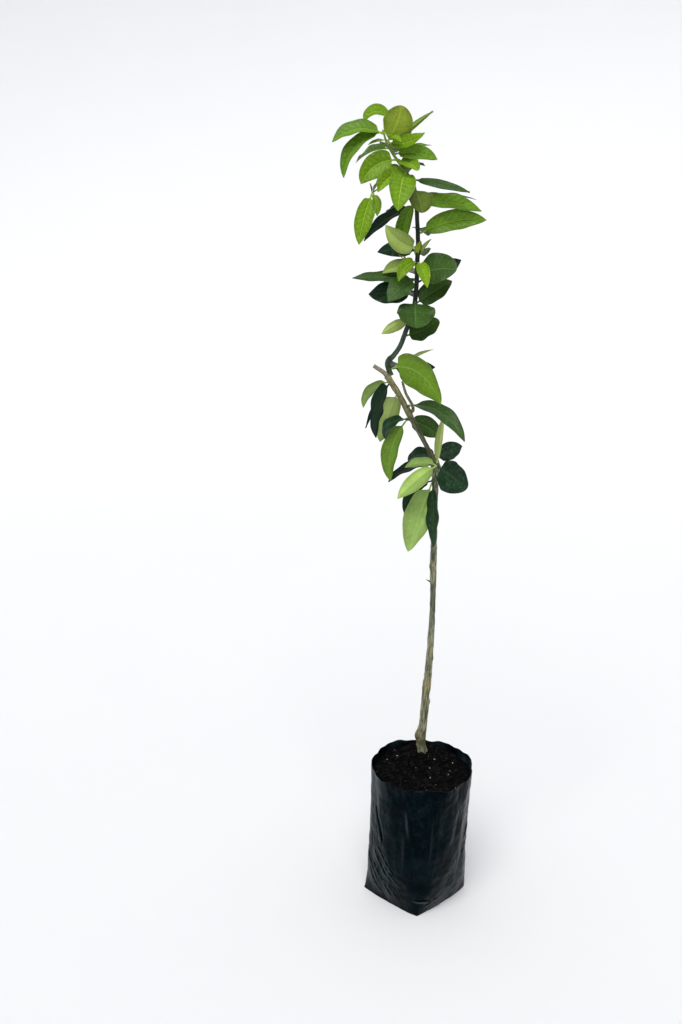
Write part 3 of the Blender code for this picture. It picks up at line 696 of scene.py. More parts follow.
def blade_colour(n, blade, colour, vein, ribs, upper):
    """Mottled, with painted shade at the margin, between the veins and over one half, painted sheen flecks
    on upper faces, and paler along the veins.
    """
    deep = tuple(0.42 * c for c in colour)
    warm = (1.35 * colour[0], 1.15 * colour[1], 0.8 * colour[2])
    bloom = PAINTED_SHEEN * max(0.0, 1.0 - colour[1] / PAINTED_SHEEN_FADES_AT) if upper else 0.0
    base = n.mix(n.ramp(blade.patches, 0.32, 0.62, 0.45, 1.0), deep, colour)
    base = n.lay(base, warm, blade.tint, 0.55)
    # Painted shade, darker towards the margin and between the veins, where a curled and quilted blade is
    # shaded
    base = n.lay(base, deep, n.ramp(blade.across, 0.40, 1.0), 0.65)
    base = n.lay(base, deep, n.ramp(blade.turn, 0.08, 0.5), 0.20 * ribs)
    # Painted shade over one half of the blade, as on a folded leaf lit from one side
    base = n.lay(base, deep, blade.dim, 0.40)
    base = n.lay(base, vein, n.ramp(blade.spots, 0.50, 0.68), 0.42)
    # Painted sheen: greyish flecks on upper faces, standing for the gloss of dark leaves
    base = n.lay(base, PAINTED_SHEEN_COLOUR, blade.bloom, bloom)
    base = n.lay(base, vein, blade.net, 0.10 if upper else 0.16)
    base = n.lay(base, vein, blade.sides, 0.12 + 0.26 * ribs)
    base = n.lay(base, vein, blade.midrib, 0.75)
    return n.lay(base, vein, n.ramp(blade.across, 0.93, 1.0), 0.35)


def leaf_material(name, colour, vein, rough, gloss, ribs, upper):
    """A blade's colour, with its veins, net and spots in slight relief."""
    n = Nodes(name)
    blade = blade_pattern(n)
    base = blade_colour(n, blade, colour, vein, ribs, upper)
    height = n.plus(n.times(blade.sides, -0.5 if upper else 0.5), n.times(blade.net, -0.25))
    height = n.plus(height, n.times(blade.spots, 0.35))
    roughness = n.ramp(blade.patches, 0.3, 0.75, rough - 0.07, rough + 0.09)
    return n.finish(base, roughness, gloss, Normal=n.bump(height, 0.35, 0.00035))


def stem_material():
    """Green young bark, nearly black-green in the middle of the leader and paler at its tip."""
    n = Nodes("green_stem")
    streaks = n.noise(n.place(z=0.12), 420.0, 4.0)
    specks = n.noise(n.place(z=0.35), 700.0, 2.0)
    streaked = n.ramp(streaks, 0.35, 0.7)
    low = n.mix(streaked, (0.022, 0.045, 0.026), (0.085, 0.115, 0.070))
    middle = n.mix(streaked, (0.006, 0.013, 0.008), (0.022, 0.034, 0.020))
    young = n.mix(streaked, (0.13, 0.22, 0.04), (0.25, 0.33, 0.08))
    base = n.mix(n.ramp(n.level(), 0.85, 0.88), low, middle)
    base = n.mix(n.ramp(n.level(), 1.02, 1.05), base, young)
    base = n.lay(base, (0.30, 0.33, 0.20), n.ramp(specks, 0.62, 0.74), 0.25)
    rough = n.ramp(specks, 0.3, 0.7, 0.42, 0.6)
    normal = n.bump(n.plus(streaks, specks), 0.4, 0.0003)
    return n.finish(base, rough, 0.25, Normal=normal)


def bark_material():
    """Olive-grey bark with pale streaks, dark cracks and moss, turning khaki up to the pruned top."""
    n = Nodes("grey_bark")
    height = n.level()
    streaks = n.noise(n.place(z=0.10), 480.0, 5.0, 0.65)
    patches = n.noise(n.place(z=0.35), 95.0, 4.0)
    cracks = n.cells(n.place(z=0.16), 420.0, "DISTANCE_TO_EDGE")
    rings = n.noise(n.place(x=0.25, y=0.25), 330.0, 3.0)
    streaked = n.ramp(streaks, 0.36, 0.62)
    patched = n.ramp(patches, 0.35, 0.6)
    grey = n.mix(streaked, (0.060, 0.066, 0.036), (0.37, 0.36, 0.225))
    grey = n.lay(grey, (0.40, 0.39, 0.28), n.ramp(patches, 0.54, 0.68), 0.75)
    grey = n.lay(grey, (0.040, 0.054, 0.024), n.ramp(patches, 0.48, 0.30), 0.85)
    khaki = n.mix(streaked, (0.13, 0.125, 0.045), (0.34, 0.325, 0.155))
    olive = n.mix(streaked, (0.050, 0.060, 0.030), (0.19, 0.19, 0.11))
    base = n.mix(n.ramp(height, 0.655, 0.70), grey, olive)
    base = n.mix(n.ramp(height, 0.735, 0.762), base, khaki)
    crack = n.times(n.ramp(cracks, 0.07, 0.0), patched)
    base = n.lay(base, (0.060, 0.044, 0.018), crack, 0.75)
    base = n.lay(base, (0.05, 0.048, 0.028), n.ramp(rings, 0.60, 0.72), 0.35)
    shaded = n.times(n.ramp(height, 0.405, 0.445), n.ramp(height, 0.498, 0.488))
    base = n.lay(base, (0.060, 0.072, 0.055), shaded, 0.55)
    scar = n.times(n.near(SCAR, 0.016, 0.007), patched)
    base = n.lay(base, (0.34, 0.27, 0.10), scar, 0.45)
    moss = n.times(n.near(GRAFT, 0.021, 0.006), n.ramp(n.noise(n.spot(), 300.0, 3.0), 0.42, 0.58))
    base = n.lay(base, (0.095, 0.085, 0.016), moss, 0.85)
    rough = n.ramp(patches, 0.3, 0.7, 0.72, 0.9)
    normal = n.bump(n.plus(n.times(streaks, 1.2), n.times(crack, -1.0)), 0.9, 0.0009)
    return n.finish(base, rough, 0.3, Normal=normal)


def dry_wood_material():
    """Dry grey-brown wood of the stub, with paler weathered patches."""
    n = Nodes("dry_wood")
    streaks = n.noise(n.place(), 420.0, 5.0, 0.7)
    patches = n.noise(n.place(), 120.0, 3.0)
    base = n.mix(n.ramp(streaks, 0.35, 0.65), (0.12, 0.10, 0.065), (0.36, 0.32, 0.23))
    base = n.lay(base, (0.52, 0.48, 0.38), n.ramp(patches, 0.55, 0.7), 0.6)
    return n.finish(base, 0.85, 0.3, Normal=n.bump(streaks, 0.6, 0.0005))


def thorn_material():
    """Dark brown thorn."""
    n = Nodes("thorn_brown")
    grain = n.noise(n.place(), 500.0)
    base = n.mix(grain, (0.012, 0.010, 0.007), (0.040, 0.030, 0.018))
    return n.finish(base, 0.5, 0.5, Normal=n.bump(grain, 0.4, 0.0003))


def film_material():
    """Black polythene film with a faint blue cast, painted highlights on its ridges and painted shade in
    its folds, dust and fine crinkles.
    """
    n = Nodes("black_film")
    place = n.place(z=0.7)
    clouds = n.noise(place, 26.0, 5.0)
    dust = n.noise(place, 420.0, 4.0, 0.7)
    mottle = n.noise(place, 130.0, 5.0, 0.65)
    crinkle = n.noise(n.place(z=0.45), 85.0, 5.0, 0.6)
    facets = n.cells(n.place(z=0.6), 46.0)
    ridge_and_fold_light = n.tint()
    base = n.mix(n.ramp(clouds, 0.35, 0.7), (0.0002, 0.0007, 0.0013), (0.0007, 0.0042, 0.0058))
    base = n.lay(base, (0.0024, 0.0100, 0.0125), n.ramp(mottle, 0.46, 0.68), 0.6)
    # Painted highlight on the ridges, then painted shade in the folds, both from the painted crease light
    # held in the tint
    base = n.lay(base, (0.044, 0.060, 0.070), n.ramp(ridge_and_fold_light, 0.58, 1.0), 0.7)
    base = n.mix(n.ramp(ridge_and_fold_light, 0.42, 0.1), base, (0.0002, 0.0004, 0.0006))
    near_rim = n.times(n.ramp(n.level(), 0.168, 0.200), n.ramp(clouds, 0.48, 0.66))
    base = n.lay(base, (0.024, 0.034, 0.040), near_rim, 0.42)
    base = n.lay(base, (0.035, 0.045, 0.055), n.ramp(dust, 0.60, 0.8), 0.22)
    normal = n.bump(crinkle, 0.9, 0.0018, n.bump(facets, 0.6, 0.0020))
    rough = n.ramp(clouds, 0.3, 0.7, 0.20, 0.34)
    return n.finish(base, rough, 0.075, Normal=normal, Specular_Tint=(0.18, 0.44, 0.62))


def soil_material():
    """Moist, nearly black mix with brown crumbs."""
    n = Nodes("moist_mix")
    crumbs = n.noise(n.place(), 320.0, 5.0, 0.7)
    flecks = n.cells(n.place(), 380.0)
    base = n.mix(n.ramp(crumbs, 0.4, 0.7), (0.0005, 0.0006, 0.0008), (0.0026, 0.0027, 0.0029))
    base = n.lay(base, (0.014, 0.011, 0.009), n.ramp(flecks, 0.14, 0.05), 0.5)
    return n.finish(base, 0.9, 0.06, Normal=n.bump(crumbs, 1.0, 0.0016))


def crumb_material(name, dark, light, rough):
    """Chips, grains and fibres: each takes its own tint between two colours."""
    n = Nodes(name)
    grain = n.noise(n.place(y=0.4), 600.0, 4.0, 0.7)
    base = n.mix(n.tint(), dark, light)
    base = n.mix(n.ramp(grain, 0.4, 0.7), tuple(0.5 * c for c in dark), base)
    return n.finish(base, rough, 0.12, Normal=n.bump(grain, 0.7, 0.0005))


def floor_material():
    """A matt near-white floor and sweep."""
    n = Nodes("pale_floor")
    base = n.mix(n.noise(n.spot(), 3.0, 2.0), (0.768, 0.774, 0.787), (0.786, 0.791, 0.800))
    return n.finish(base, 0.9, 0.1)


# Grow bag and potting mix


def film_relief(turn, z):
    """How far the film stands out from its plain form at headings in radians and heights."""
    up = z / BAG_HEIGHT
    body = np.clip(np.sin(math.pi * np.clip(up, 0.0, 1.0)), 0.0, 1.0) ** 0.35
    out = 0.00045 * np.cos(7 * turn + 1.3 + 2.2 * up) * body
    out += 0.00040 * np.cos(11 * turn - 0.6 + 3.4 * np.sin(2.4 * up)) * body
    out += 0.00028 * np.cos(19 * turn + 2.1 - 4.0 * up) * body
    side = (turn + math.pi) % (2.0 * math.pi) - math.pi + 0.2
    out -= SIDE_DENT * np.exp(-((side / SIDE_DENT_ARC) ** 2)) * body**4
    for crease in CREASES:
        out += crease_relief(crease, turn, z)
    return out


def crease_relief(crease, turn, z):
    """One crease: a trough with a raised lip above it, fading at both ends."""
    middle = math.radians(0.5 * (crease.turn + crease.to_turn))
    arc = RIM_RADIUS * ((turn - middle + math.pi) % (2.0 * math.pi) - math.pi)
    half = RIM_RADIUS * math.radians(crease.to_turn - crease.turn) / 2.0
    run = np.array((2.0 * half, (crease.to_z - crease.z) * MM))
    length = float(np.hypot(*run))
    aside = arc + half
    above = z - crease.z * MM
    along = (aside * run[0] + above * run[1]) / length**2
    off = (aside * run[1] - above * run[0]) / length
    off = off + 0.0012 * np.sin(5.0 * along + crease.z)
    width = CREASE_NARROWER * crease.width * MM
    fade = np.clip(4.0 * along * (1.0 - along), 0.0, 1.0) ** 0.8
    shape = np.exp(-((off / width) ** 2)) - 0.7 * np.exp(-(((off - 1.7 * width) / width) ** 2))
    return -CREASE_DEEPER * crease.depth * MM * fade * shape


def lumps(points, size, depth, seed=0.0):
    """Seeded noise at each point."""
    scale = 1.0 / size
    shift = Vector((seed, 2.0 * seed, -seed))
    return depth * np.array([noise.noise(Vector(p) * scale + shift) for p in points])


def film_ring(z, sides, inset=0.0):
    """One ring of the bag's film at a height, with its folds, creases, lumps and wavy rim."""
    turn = 2.0 * math.pi * np.arange(sides) / sides
    up = z / BAG_HEIGHT
    rim = smoothstep(0.75, 1.0, up)
    fade = min(z / SQUARE_FADES_AT, 1.0)
    power = BASE_SQUARENESS + (2.0 - BASE_SQUARENESS) * math.sin(0.5 * math.pi * fade) ** 1.2
    waist = WAIST * math.sin(math.pi * up)
    half_x = BASE_HALF_WIDTH + (RIM_RADIUS - BASE_HALF_WIDTH) * up - waist
    half_y = BASE_HALF_DEPTH + (RIM_RADIUS - BASE_HALF_DEPTH) * min(2.0 * up, 1.0) - waist
    c, s = np.cos(turn), np.sin(turn)
    radius = (np.abs(c / half_x) ** power + np.abs(s / half_y) ** power) ** (-1.0 / power)
    ring = np.stack((radius * c, radius * s, np.full(sides, z)), 1)
    radius = radius + film_relief(turn, z) * smoothstep(0.0, 0.006, z)
    radius += lumps(ring, 0.024, 0.0011) + lumps(ring, 0.009, 0.0004, 3.0)
    radius -= inset
    radius += rim * RIM_FLATS * (np.abs(np.sin(0.5 * RIM_SIDES * turn + 0.5)) - 0.8)
    wave = RIM_WAVE * (np.sin(3.0 * turn + 0.6) + 0.6 * np.sin(7.0 * turn))
    wave += 0.0007 * np.sin(13.0 * turn + 0.4) + 0.0005 * np.sin(23.0 * turn)
    ring[:, 0] = RIM_SHIFT * math.sqrt(up) + radius * c
    ring[:, 1] = radius * s
    ring[:, 2] += rim * wave
    return ring


def painted_crease_light(rings):
    """Each point's painted crease light: over a half, for a painted highlight, where the film is ridged,
    and under a half, for painted shade, where it is folded in.
    """
    turn = 2.0 * math.pi * np.arange(BAG_SIDES) / BAG_SIDES
    out = np.array([film_relief(turn, ring[:, 2]) for ring in rings])
    plain = sum(np.roll(out, k, 1) for k in range(-CREASE_LIGHT_ASIDE, CREASE_LIGHT_ASIDE + 1)) / (2 * CREASE_LIGHT_ASIDE + 1)
    high = np.pad(plain, ((CREASE_LIGHT_ABOVE, CREASE_LIGHT_ABOVE), (0, 0)), mode="edge")
    plain = sum(high[k:k + len(out)] for k in range(2 * CREASE_LIGHT_ABOVE + 1)) / (2 * CREASE_LIGHT_ABOVE + 1)
    return np.clip(0.5 + (out - plain) / CREASE_LIGHT_RELIEF, 0.0, 1.0).ravel()


def make_bag():
    """The film bag: base, creased outer skin, thin wavy rim and inner skin."""
    outer = np.linspace(0.0, 1.0, BAG_RINGS + 1) ** 1.1 * BAG_HEIGHT
    inner = np.linspace(1.0, 0.0, INNER_RINGS + 1)[1:] * (BAG_HEIGHT - FILM) + FILM
    rings = [film_ring(0.0, BAG_SIDES) * (k / BOTTOM_RINGS, k / BOTTOM_RINGS, 1.0)
             for k in range(1, BOTTOM_RINGS)]
    rings += [film_ring(z, BAG_SIDES) for z in outer]
    rings.append(film_ring(BAG_HEIGHT, BAG_SIDES, FILM))
    rings += [film_ring(z, BAG_SIDES, FILM) for z in inner]
    piece = Piece()
    # The tint carries the painted crease light: painted highlights on ridges, painted shade in folds
    piece.add(np.concatenate(rings), tube_faces(len(rings), BAG_SIDES), 0, tint=painted_crease_light(rings))
    bag = piece.build("grow_bag_film", [film_material()], 50.0)
    return belongs(bag, "grow_bag", "grow_bag")


def soil_height(x, y):
    """The mix's plain height at a spot, heaped a little round the trunk's foot."""
    foot = TRUNK[0]
    distance = np.hypot(x - foot.x * MM, y - foot.y * MM)
    out = np.maximum(distance - FOOT_RADIUS, 0.0) / HEAP_RADIUS
    return SOIL_LEVEL + SOIL_HEAP * np.exp(-out * out)


def clods(points):
    """Lumps and crumbs on the mix's surface."""
    big = lumps(points, 0.016, 0.0030, 5.0)
    small = lumps(points, 0.0055, 0.0022, 9.0)
    fine = lumps(points, 0.0020, 0.0009, 1.0)
    return big + np.abs(small) + fine


def make_soil():
    """The mix that fills the bag, with a crumbly top against the film."""
    edge = film_ring(SOIL_LEVEL, SOIL_SIDES, FILM)
    middle = np.array((TRUNK[0].x * MM, TRUNK[0].y * MM))
    levels = np.linspace(3.0 * FILM, SOIL_SIDE_TOP, SOIL_SIDE_RINGS)
    rings = [film_ring(z, SOIL_SIDES, 3.0 * FILM) for z in levels]
    for k in range(SOIL_RINGS + 1):
        share = min(k / SOIL_RINGS, 0.995)
        ring = edge.copy()
        ring[:, :2] = edge[:, :2] * (1.0 - share) + middle * share
        ring[:, 2] = soil_height(ring[:, 0], ring[:, 1]) - SOIL_SUNK
        ring[:, 2] += clods(ring) * smoothstep(0.0, 0.06, share + 0.02)
        rings.append(ring)
    piece = Piece()
    piece.add(np.concatenate(rings), tube_faces(len(rings), SOIL_SIDES), 0)
    soil = piece.build("potting_mix_top", [soil_material()], 80.0)
    return belongs(soil, "potting_mix", "potting_mix")


def lump_mesh(rule, size):
    """An uneven grain or chip about its own middle, of given half sizes."""
    seed = rule.uniform(0.0, 99.0)
    points = []
    for k in range(GRAIN_RINGS):
        lift = -math.cos(math.pi * (k + 0.5) / GRAIN_RINGS)
        round_share = math.sqrt(1.0 - lift * lift) ** 0.7
        for a in range(GRAIN_SIDES):
            turn = 2.0 * math.pi * a / GRAIN_SIDES
            spot = Vector((math.cos(turn) * round_share, math.sin(turn) * round_share, lift))
            spot *= 1.0 + 0.45 * noise.noise(spot * 1.3 + Vector((seed, 0.0, 0.0)))
            points.append((spot.x * size[0], spot.y * size[1], spot.z * size[2]))
    return np.array(points), tube_faces(GRAIN_RINGS, GRAIN_SIDES)


def turned(points, heading, pitch, roll):
    """Points turned by a roll, a pitch and a heading, in degrees."""
    h, p, r = (math.radians(v) for v in (heading, pitch, roll))
    about_x = np.array(((1, 0, 0), (0, math.cos(r), -math.sin(r)), (0, math.sin(r), math.cos(r))))
    about_y = np.array(((math.cos(p), 0, math.sin(p)), (0, 1, 0), (-math.sin(p), 0, math.cos(p))))
    about_z = np.array(((math.cos(h), -math.sin(h), 0), (math.sin(h), math.cos(h), 0), (0, 0, 1)))
    return points @ (about_z @ about_y @ about_x).T


def soil_spot(rule, reach):
    """A spot on the mix's surface inside a share of the mouth's radius."""
    turn = rule.uniform(0.0, 2.0 * math.pi)
    out = reach * RIM_RADIUS * math.sqrt(rule.random())
    x = RIM_SHIFT + out * math.cos(turn)
    y = out * math.sin(turn)
    return np.array((x, y, float(soil_height(x, y))))


def scatter(name, count, material, sizes, rise, seed):
    """Grains or chips lying about on the mix."""
    rule = random.Random(seed)
    piece = Piece()
    for _ in range(count):
        length = rule.uniform(*sizes) * MM
        width = length * rule.uniform(0.35, 0.75)
        thick = length * rule.uniform(0.22, 0.5)
        points, faces = lump_mesh(rule, (length, width, thick))
        points = turned(points, rule.uniform(0, 360), rule.uniform(-28, 28), rule.uniform(-25, 25))
        spot = soil_spot(rule, GRAIN_REACH)
        spot[2] += rise * MM
        piece.add(points + spot, faces, 0, tint=rule.random() ** 2)
    return belongs(piece.build(name, [material], 40.0), "potting_mix")


def make_fibres():
    """Thin roots and slivers lying on the mix."""
    rule = random.Random(31)
    piece = Piece()
    for _ in range(FIBRES):
        spot = Vector(soil_spot(rule, FIBRE_REACH))
        heading = rule.uniform(0.0, 360.0)
        bend = rule.uniform(-60.0, 60.0)
        step = rule.uniform(1.0, 2.6) * MM
        path = []
        for k in range(FIBRE_STEPS + 1):
            height = float(soil_height(spot.x, spot.y)) + 0.0016 + 0.0012 * math.sin(0.7 * k)
            path.append((Vector((spot.x, spot.y, height)), rule.uniform(0.16, 0.36) * MM))
            spot = spot + aim(heading + bend * k / FIBRE_STEPS, 0.0) * step
        add_tube(piece, path, 6, 0, tint=rule.random())
    material = crumb_material("root_fibre", (0.012, 0.010, 0.008), (0.10, 0.080, 0.055), 0.85)
    return belongs(piece.build("potting_mix_fibres", [material], 80.0), "potting_mix")


# Limbs


def blend_rows(before, start, end, after, t):
    """A Catmull-Rom blend of four rows of a point and a radius."""
    weights = (
        0.5 * (-t + 2 * t**2 - t**3),
        0.5 * (2 - 5 * t**2 + 3 * t**3),
        0.5 * (t + 4 * t**2 - 3 * t**3),
        0.5 * (-(t**2) + t**3),
    )
    rows = (before, start, end, after)
    point = sum((row[0] * w for row, w in zip(rows, weights)), Vector())
    radius = sum(row[1] * w for row, w in zip(rows, weights))
    return point, radius


def smooth_path(stations):
    """Points and radii along a smooth curve through a limb's stations."""
    rows = [(Vector((s.x, s.y, s.z)) * MM, 0.5 * s.d * MM) for s in stations]
    path = []
    for k in range(len(rows) - 1):
        before = rows[max(k - 1, 0)]
        after = rows[min(k + 2, len(rows) - 1)]
        for step in range(STEPS_BETWEEN_STATIONS):
            share = step / STEPS_BETWEEN_STATIONS
            path.append(blend_rows(before, rows[k], rows[k + 1], after, share))
    path.append(rows[-1])
    return path


def path_at(path, height):
    """The point, axis and radius of a rising path at a height in metres."""
    height = max(height, path[0][0].z)
    for (low, r0), (high, r1) in zip(path, path[1:]):
        if low.z <= height <= high.z:
            t = (height - low.z) / (high.z - low.z)
            return low.lerp(high, t), (high - low).normalized(), r0 + (r1 - r0) * t
    end, radius = path[-1]
    return end, (end - path[-2][0]).normalized(), radius


def part_of_path(path, low, high):
    """The stretch of a rising path between two heights, with its cut ends."""
    first, _, r0 = path_at(path, low)
    last, _, r1 = path_at(path, high)
    between = [row for row in path if low + CUT_CLEARANCE < row[0].z < high - CUT_CLEARANCE]
    return [(first, r0), *between, (last, r1)]


def at_share(path, share):
    """The point and radius at a share of a path's length."""
    lengths = [(b[0] - a[0]).length for a, b in zip(path, path[1:])]
    wanted = share * sum(lengths)
    for (a, b), length in zip(zip(path, path[1:]), lengths):
        if wanted <= length:
            t = wanted / length
            return a[0].lerp(b[0], t), a[1] + (b[1] - a[1]) * t
        wanted -= length
    return path[-1]


def add_tube(piece, path, sides, slot, relief=None, tint=0.5, flat_foot=False):
    """Add a closed tube, its skin moved out by relief(point, turn, radius) where given."""
    points, maps, grain = [], [], []
    side = None
    length = 0.0
    for k, (point, radius) in enumerate(path):
        before = path[max(k - 1, 0)][0]
        after = path[min(k + 1, len(path) - 1)][0]
        axis = UP if flat_foot and k == 0 else (after - before).normalized()
        if side is None:
            side = axis.cross(Vector((0.0, 1.0, 0.2))).normalized()
        side = (side - axis * side.dot(axis)).normalized()
        other = axis.cross(side)
        if k:
            length += (point - path[k - 1][0]).length
        for number in range(sides):
            turn = 2.0 * math.pi * number / sides
            out = math.cos(turn) * side + math.sin(turn) * other
            skin = point + radius * out
            if relief is not None:
                skin = skin + out * relief(skin, out, radius)
            points.append(skin)
            maps.append((number / sides, length))
            grain.append((radius * math.cos(turn) + path[0][0].z, radius * math.sin(turn), length))
    piece.add([tuple(p) for p in points], tube_faces(len(path), sides), slot, maps, tint, grain)


def knob_relief(point, out, radius):
    """How far the trunk's swellings and scars stand out at a point of its skin."""
    total = 0.0
    heading = math.degrees(math.atan2(out.y, out.x)) % 360.0
    for knob in KNOBS:
        rise = (point.z / MM - knob.z) / knob.width
        if abs(rise) > KNOB_REACH:
            continue
        turn = (heading - knob.turn + 180.0) % 360.0 - 180.0
        across = math.radians(turn) * radius / MM / knob.width
        total += knob.height * MM * math.exp(-rise * rise - across * across)
    return total


def bark_relief(point, out, radius):
    """Bark: long shallow ridges, cracks, swellings and scars."""
    long_ridges = noise.noise(Vector((point.x * 420, point.y * 420, point.z * 60)))
    cracks = abs(noise.noise(Vector((point.x * 800, point.y * 800, point.z * 170))))
    lumps_on_it = noise.noise(point * 130.0)
    wide = radius / FULL_BARK_RADIUS
    plain = 0.00042 * long_ridges - 0.00042 * (1.0 - cracks) ** 6 + 0.00070 * lumps_on_it
    return plain * wide + knob_relief(point, out, radius)


def stem_relief(point, out, radius):
    """Young bark: faint ridges and a slight unevenness."""
    ridges = noise.noise(Vector((point.x * 600, point.y * 600, point.z * 50)))
    return radius * (0.05 * ridges + 0.05 * noise.noise(point * 160.0))


def add_thorn(piece, root, heading, rise, length, slot, d):
    """A short, slightly curved thorn."""
    path = []
    point = root
    for share in fractions(THORN_STEPS):
        path.append((point, 0.5 * d * MM * (1.0 - share) ** 0.8 + 0.00005))
        point = point + aim(heading, rise + 18.0 * share) * length * MM / THORN_STEPS
    add_tube(piece, path, 10, slot)


def add_bud(piece, root, heading, rise, length, slot):
    """A small pointed bud in the angle of a leaf."""
    path = []
    for share in fractions(BUD_STEPS):
        swell = math.sin(math.pi * min(share * 0.72 + 0.24, 1.0)) ** 0.8
        path.append((root + aim(heading, rise) * length * MM * share, 0.34 * length * MM * swell + 0.00004))
    add_tube(piece, path, 10, slot)


def make_limbs():
    """The trunk, stub, side shoot and leader bough, and the paths that leaves grow on."""
    trunk_path = smooth_path(TRUNK)
    leader_path = smooth_path(LEADER)
    bough_path = part_of_path(leader_path, LEADER[0].z * MM, LEADER_BOUGH_TOP * MM)
    shoot_path = smooth_path(SIDE_SHOOT)
    bark, green = bark_material(), stem_material()

    trunk = Piece()
    add_tube(trunk, trunk_path, TRUNK_SIDES, 0, bark_relief, flat_foot=True)
    thorn_root = path_at(trunk_path, THORN_LEVEL)[0] + aim(THORN_HEADING, 0) * 0.003
    add_thorn(trunk, thorn_root, THORN_HEADING, 24, 9.5, 1, 3.0)
    belongs(trunk.build("trunk_bark", [bark, thorn_material()]), "trunk", "trunk")

    stub = Piece()
    add_tube(stub, smooth_path(STUB), LEADER_SIDES, 0, bark_relief)
    belongs(stub.build("cut_stub_wood", [dry_wood_material()], 40.0), "cut_stub", "cut_stub")

    shoot = Piece()
    add_tube(shoot, shoot_path, TWIG_SIDES, 0, stem_relief)
    add_bud(shoot, shoot_path[-1][0], 150, 60, 3.4, 0)
    belongs(shoot.build("side_shoot_bark", [bark]), "side_shoot", "side_shoot")

    bough = Piece()
    add_tube(bough, bough_path, LEADER_SIDES, 0, stem_relief)
    bud_root = path_at(bough_path, BUD_LEVEL)[0] + aim(250, 20) * 0.0034
    add_bud(bough, bud_root, 240, 55, 4.5, 0)
    belongs(bough.build("leader_bark", [green]), "leader", "leader")
    return {"trunk": trunk_path, "leader": leader_path, "leader_bough": bough_path}, green


# Leaves


def blade_width(t, stout):
    """The half width of a leaf blade along its length, as a share of the greatest."""
    if not 0.0 < t < 1.0:
        return 0.0
    power = ROUND_POWER if stout else SLIM_POWER + SLIM_POINT * t
    return math.sin(math.pi * t**BROADEST_LOW) ** power


def leaf_frame(leaf, t):
    """The direction, side and face of a leaf's midrib at a share of its length."""
    direction = aim(leaf.heading, leaf.rise - leaf.bend * t)
    level = UP.cross(aim(leaf.heading, 0.0)).normalized()
    face = direction.cross(level)
    turn = math.radians(leaf.tilt) * (1.0 if level.y > 0.0 else -1.0)
    side = level * math.cos(turn) + face * math.sin(turn)
    return direction, side, direction.cross(side)


def leaf_shares():
    """Shares of a leaf's length at its stations: down the petiole, then closer at the blade's ends."""
    petiole = [PETIOLE_SHARE * k / PETIOLE_STEPS for k in range(PETIOLE_STEPS)]
    blade = [0.5 - 0.5 * math.cos(math.pi * (k / BLADE_STEPS) ** 0.97) for k in range(BLADE_STEPS)]
    return petiole + [PETIOLE_SHARE + (1.0 - PETIOLE_SHARE) * t for t in blade]


def petiole_section(leaf, share):
    """A round petiole with a swollen joint at each end and narrow wings."""
    reach = share / PETIOLE_SHARE
    thin = min(1.0, 0.55 + leaf.length / 110.0)
    radius = 0.5 * PETIOLE_WIDTH * thin * (1.0 + 0.35 * (2.0 * reach - 1.0) ** 4)
    wing = 1.0 + 0.7 * max(math.sin(math.pi * reach), 0.0) ** 2
    x = radius * wing * np.sin(0.5 * math.pi * RING_ACROSS)
    z = radius * np.cos(0.5 * math.pi * RING_ACROSS) * RING_FACE
    return x, z


def blade_section(leaf, tone, t, whims):
    """Across-and-out places of one ring of the blade, with its fold, veins, swelling and waves."""
    stout = leaf.width > STOUT_SHARE * leaf.length
    full = 0.5 * leaf.width * MM
    half = max(full * blade_width(t, stout), 0.0002)
    u = RING_ACROSS
    size = np.abs(u)
    fold = math.radians(tone.fold)
    lift = half * math.sin(fold) * min(half / (0.6 * full), 1.0)
    uneven = 1.0 + 0.03 * math.sin(5.0 * t + whims[0]) * np.sign(u) + 0.012 * np.sin(19.0 * t + whims[1])
    x = half * math.cos(fold) * u * uneven
    z = lift * (size**1.2 - 0.10 * size**5)
    ripple = np.sin(2.0 * math.pi * (2.3 * t + 0.35 * np.sign(u)) + whims[2])
    z += 0.095 * tone.wave * half * size**2 * ripple * math.sin(math.pi * t) ** 0.5
    veins = VEIN_PAIRS * t - VEIN_SLANT * size**VEIN_CURVE
    swell = np.abs(np.sin(math.pi * veins)) ** 0.8 * (1.0 - size**4) * (1.0 - np.exp(-((size / 0.10) ** 2)))
    z += QUILT * tone.quilt * min(leaf.length / 60.0, 1.2) * swell * math.sin(math.pi * t) ** 0.4
    rib = np.exp(-((x / RIB_WIDTH) ** 2)) * (1.0 - t) ** 0.6
    thick = 0.5 * BLADE_THICKNESS * (1.0 - size**6) ** 0.5
    z += np.where(RING_FACE > 0.0, thick - RIB_SUNK * rib, -thick - RIB_RAISED * rib)
    return x, z


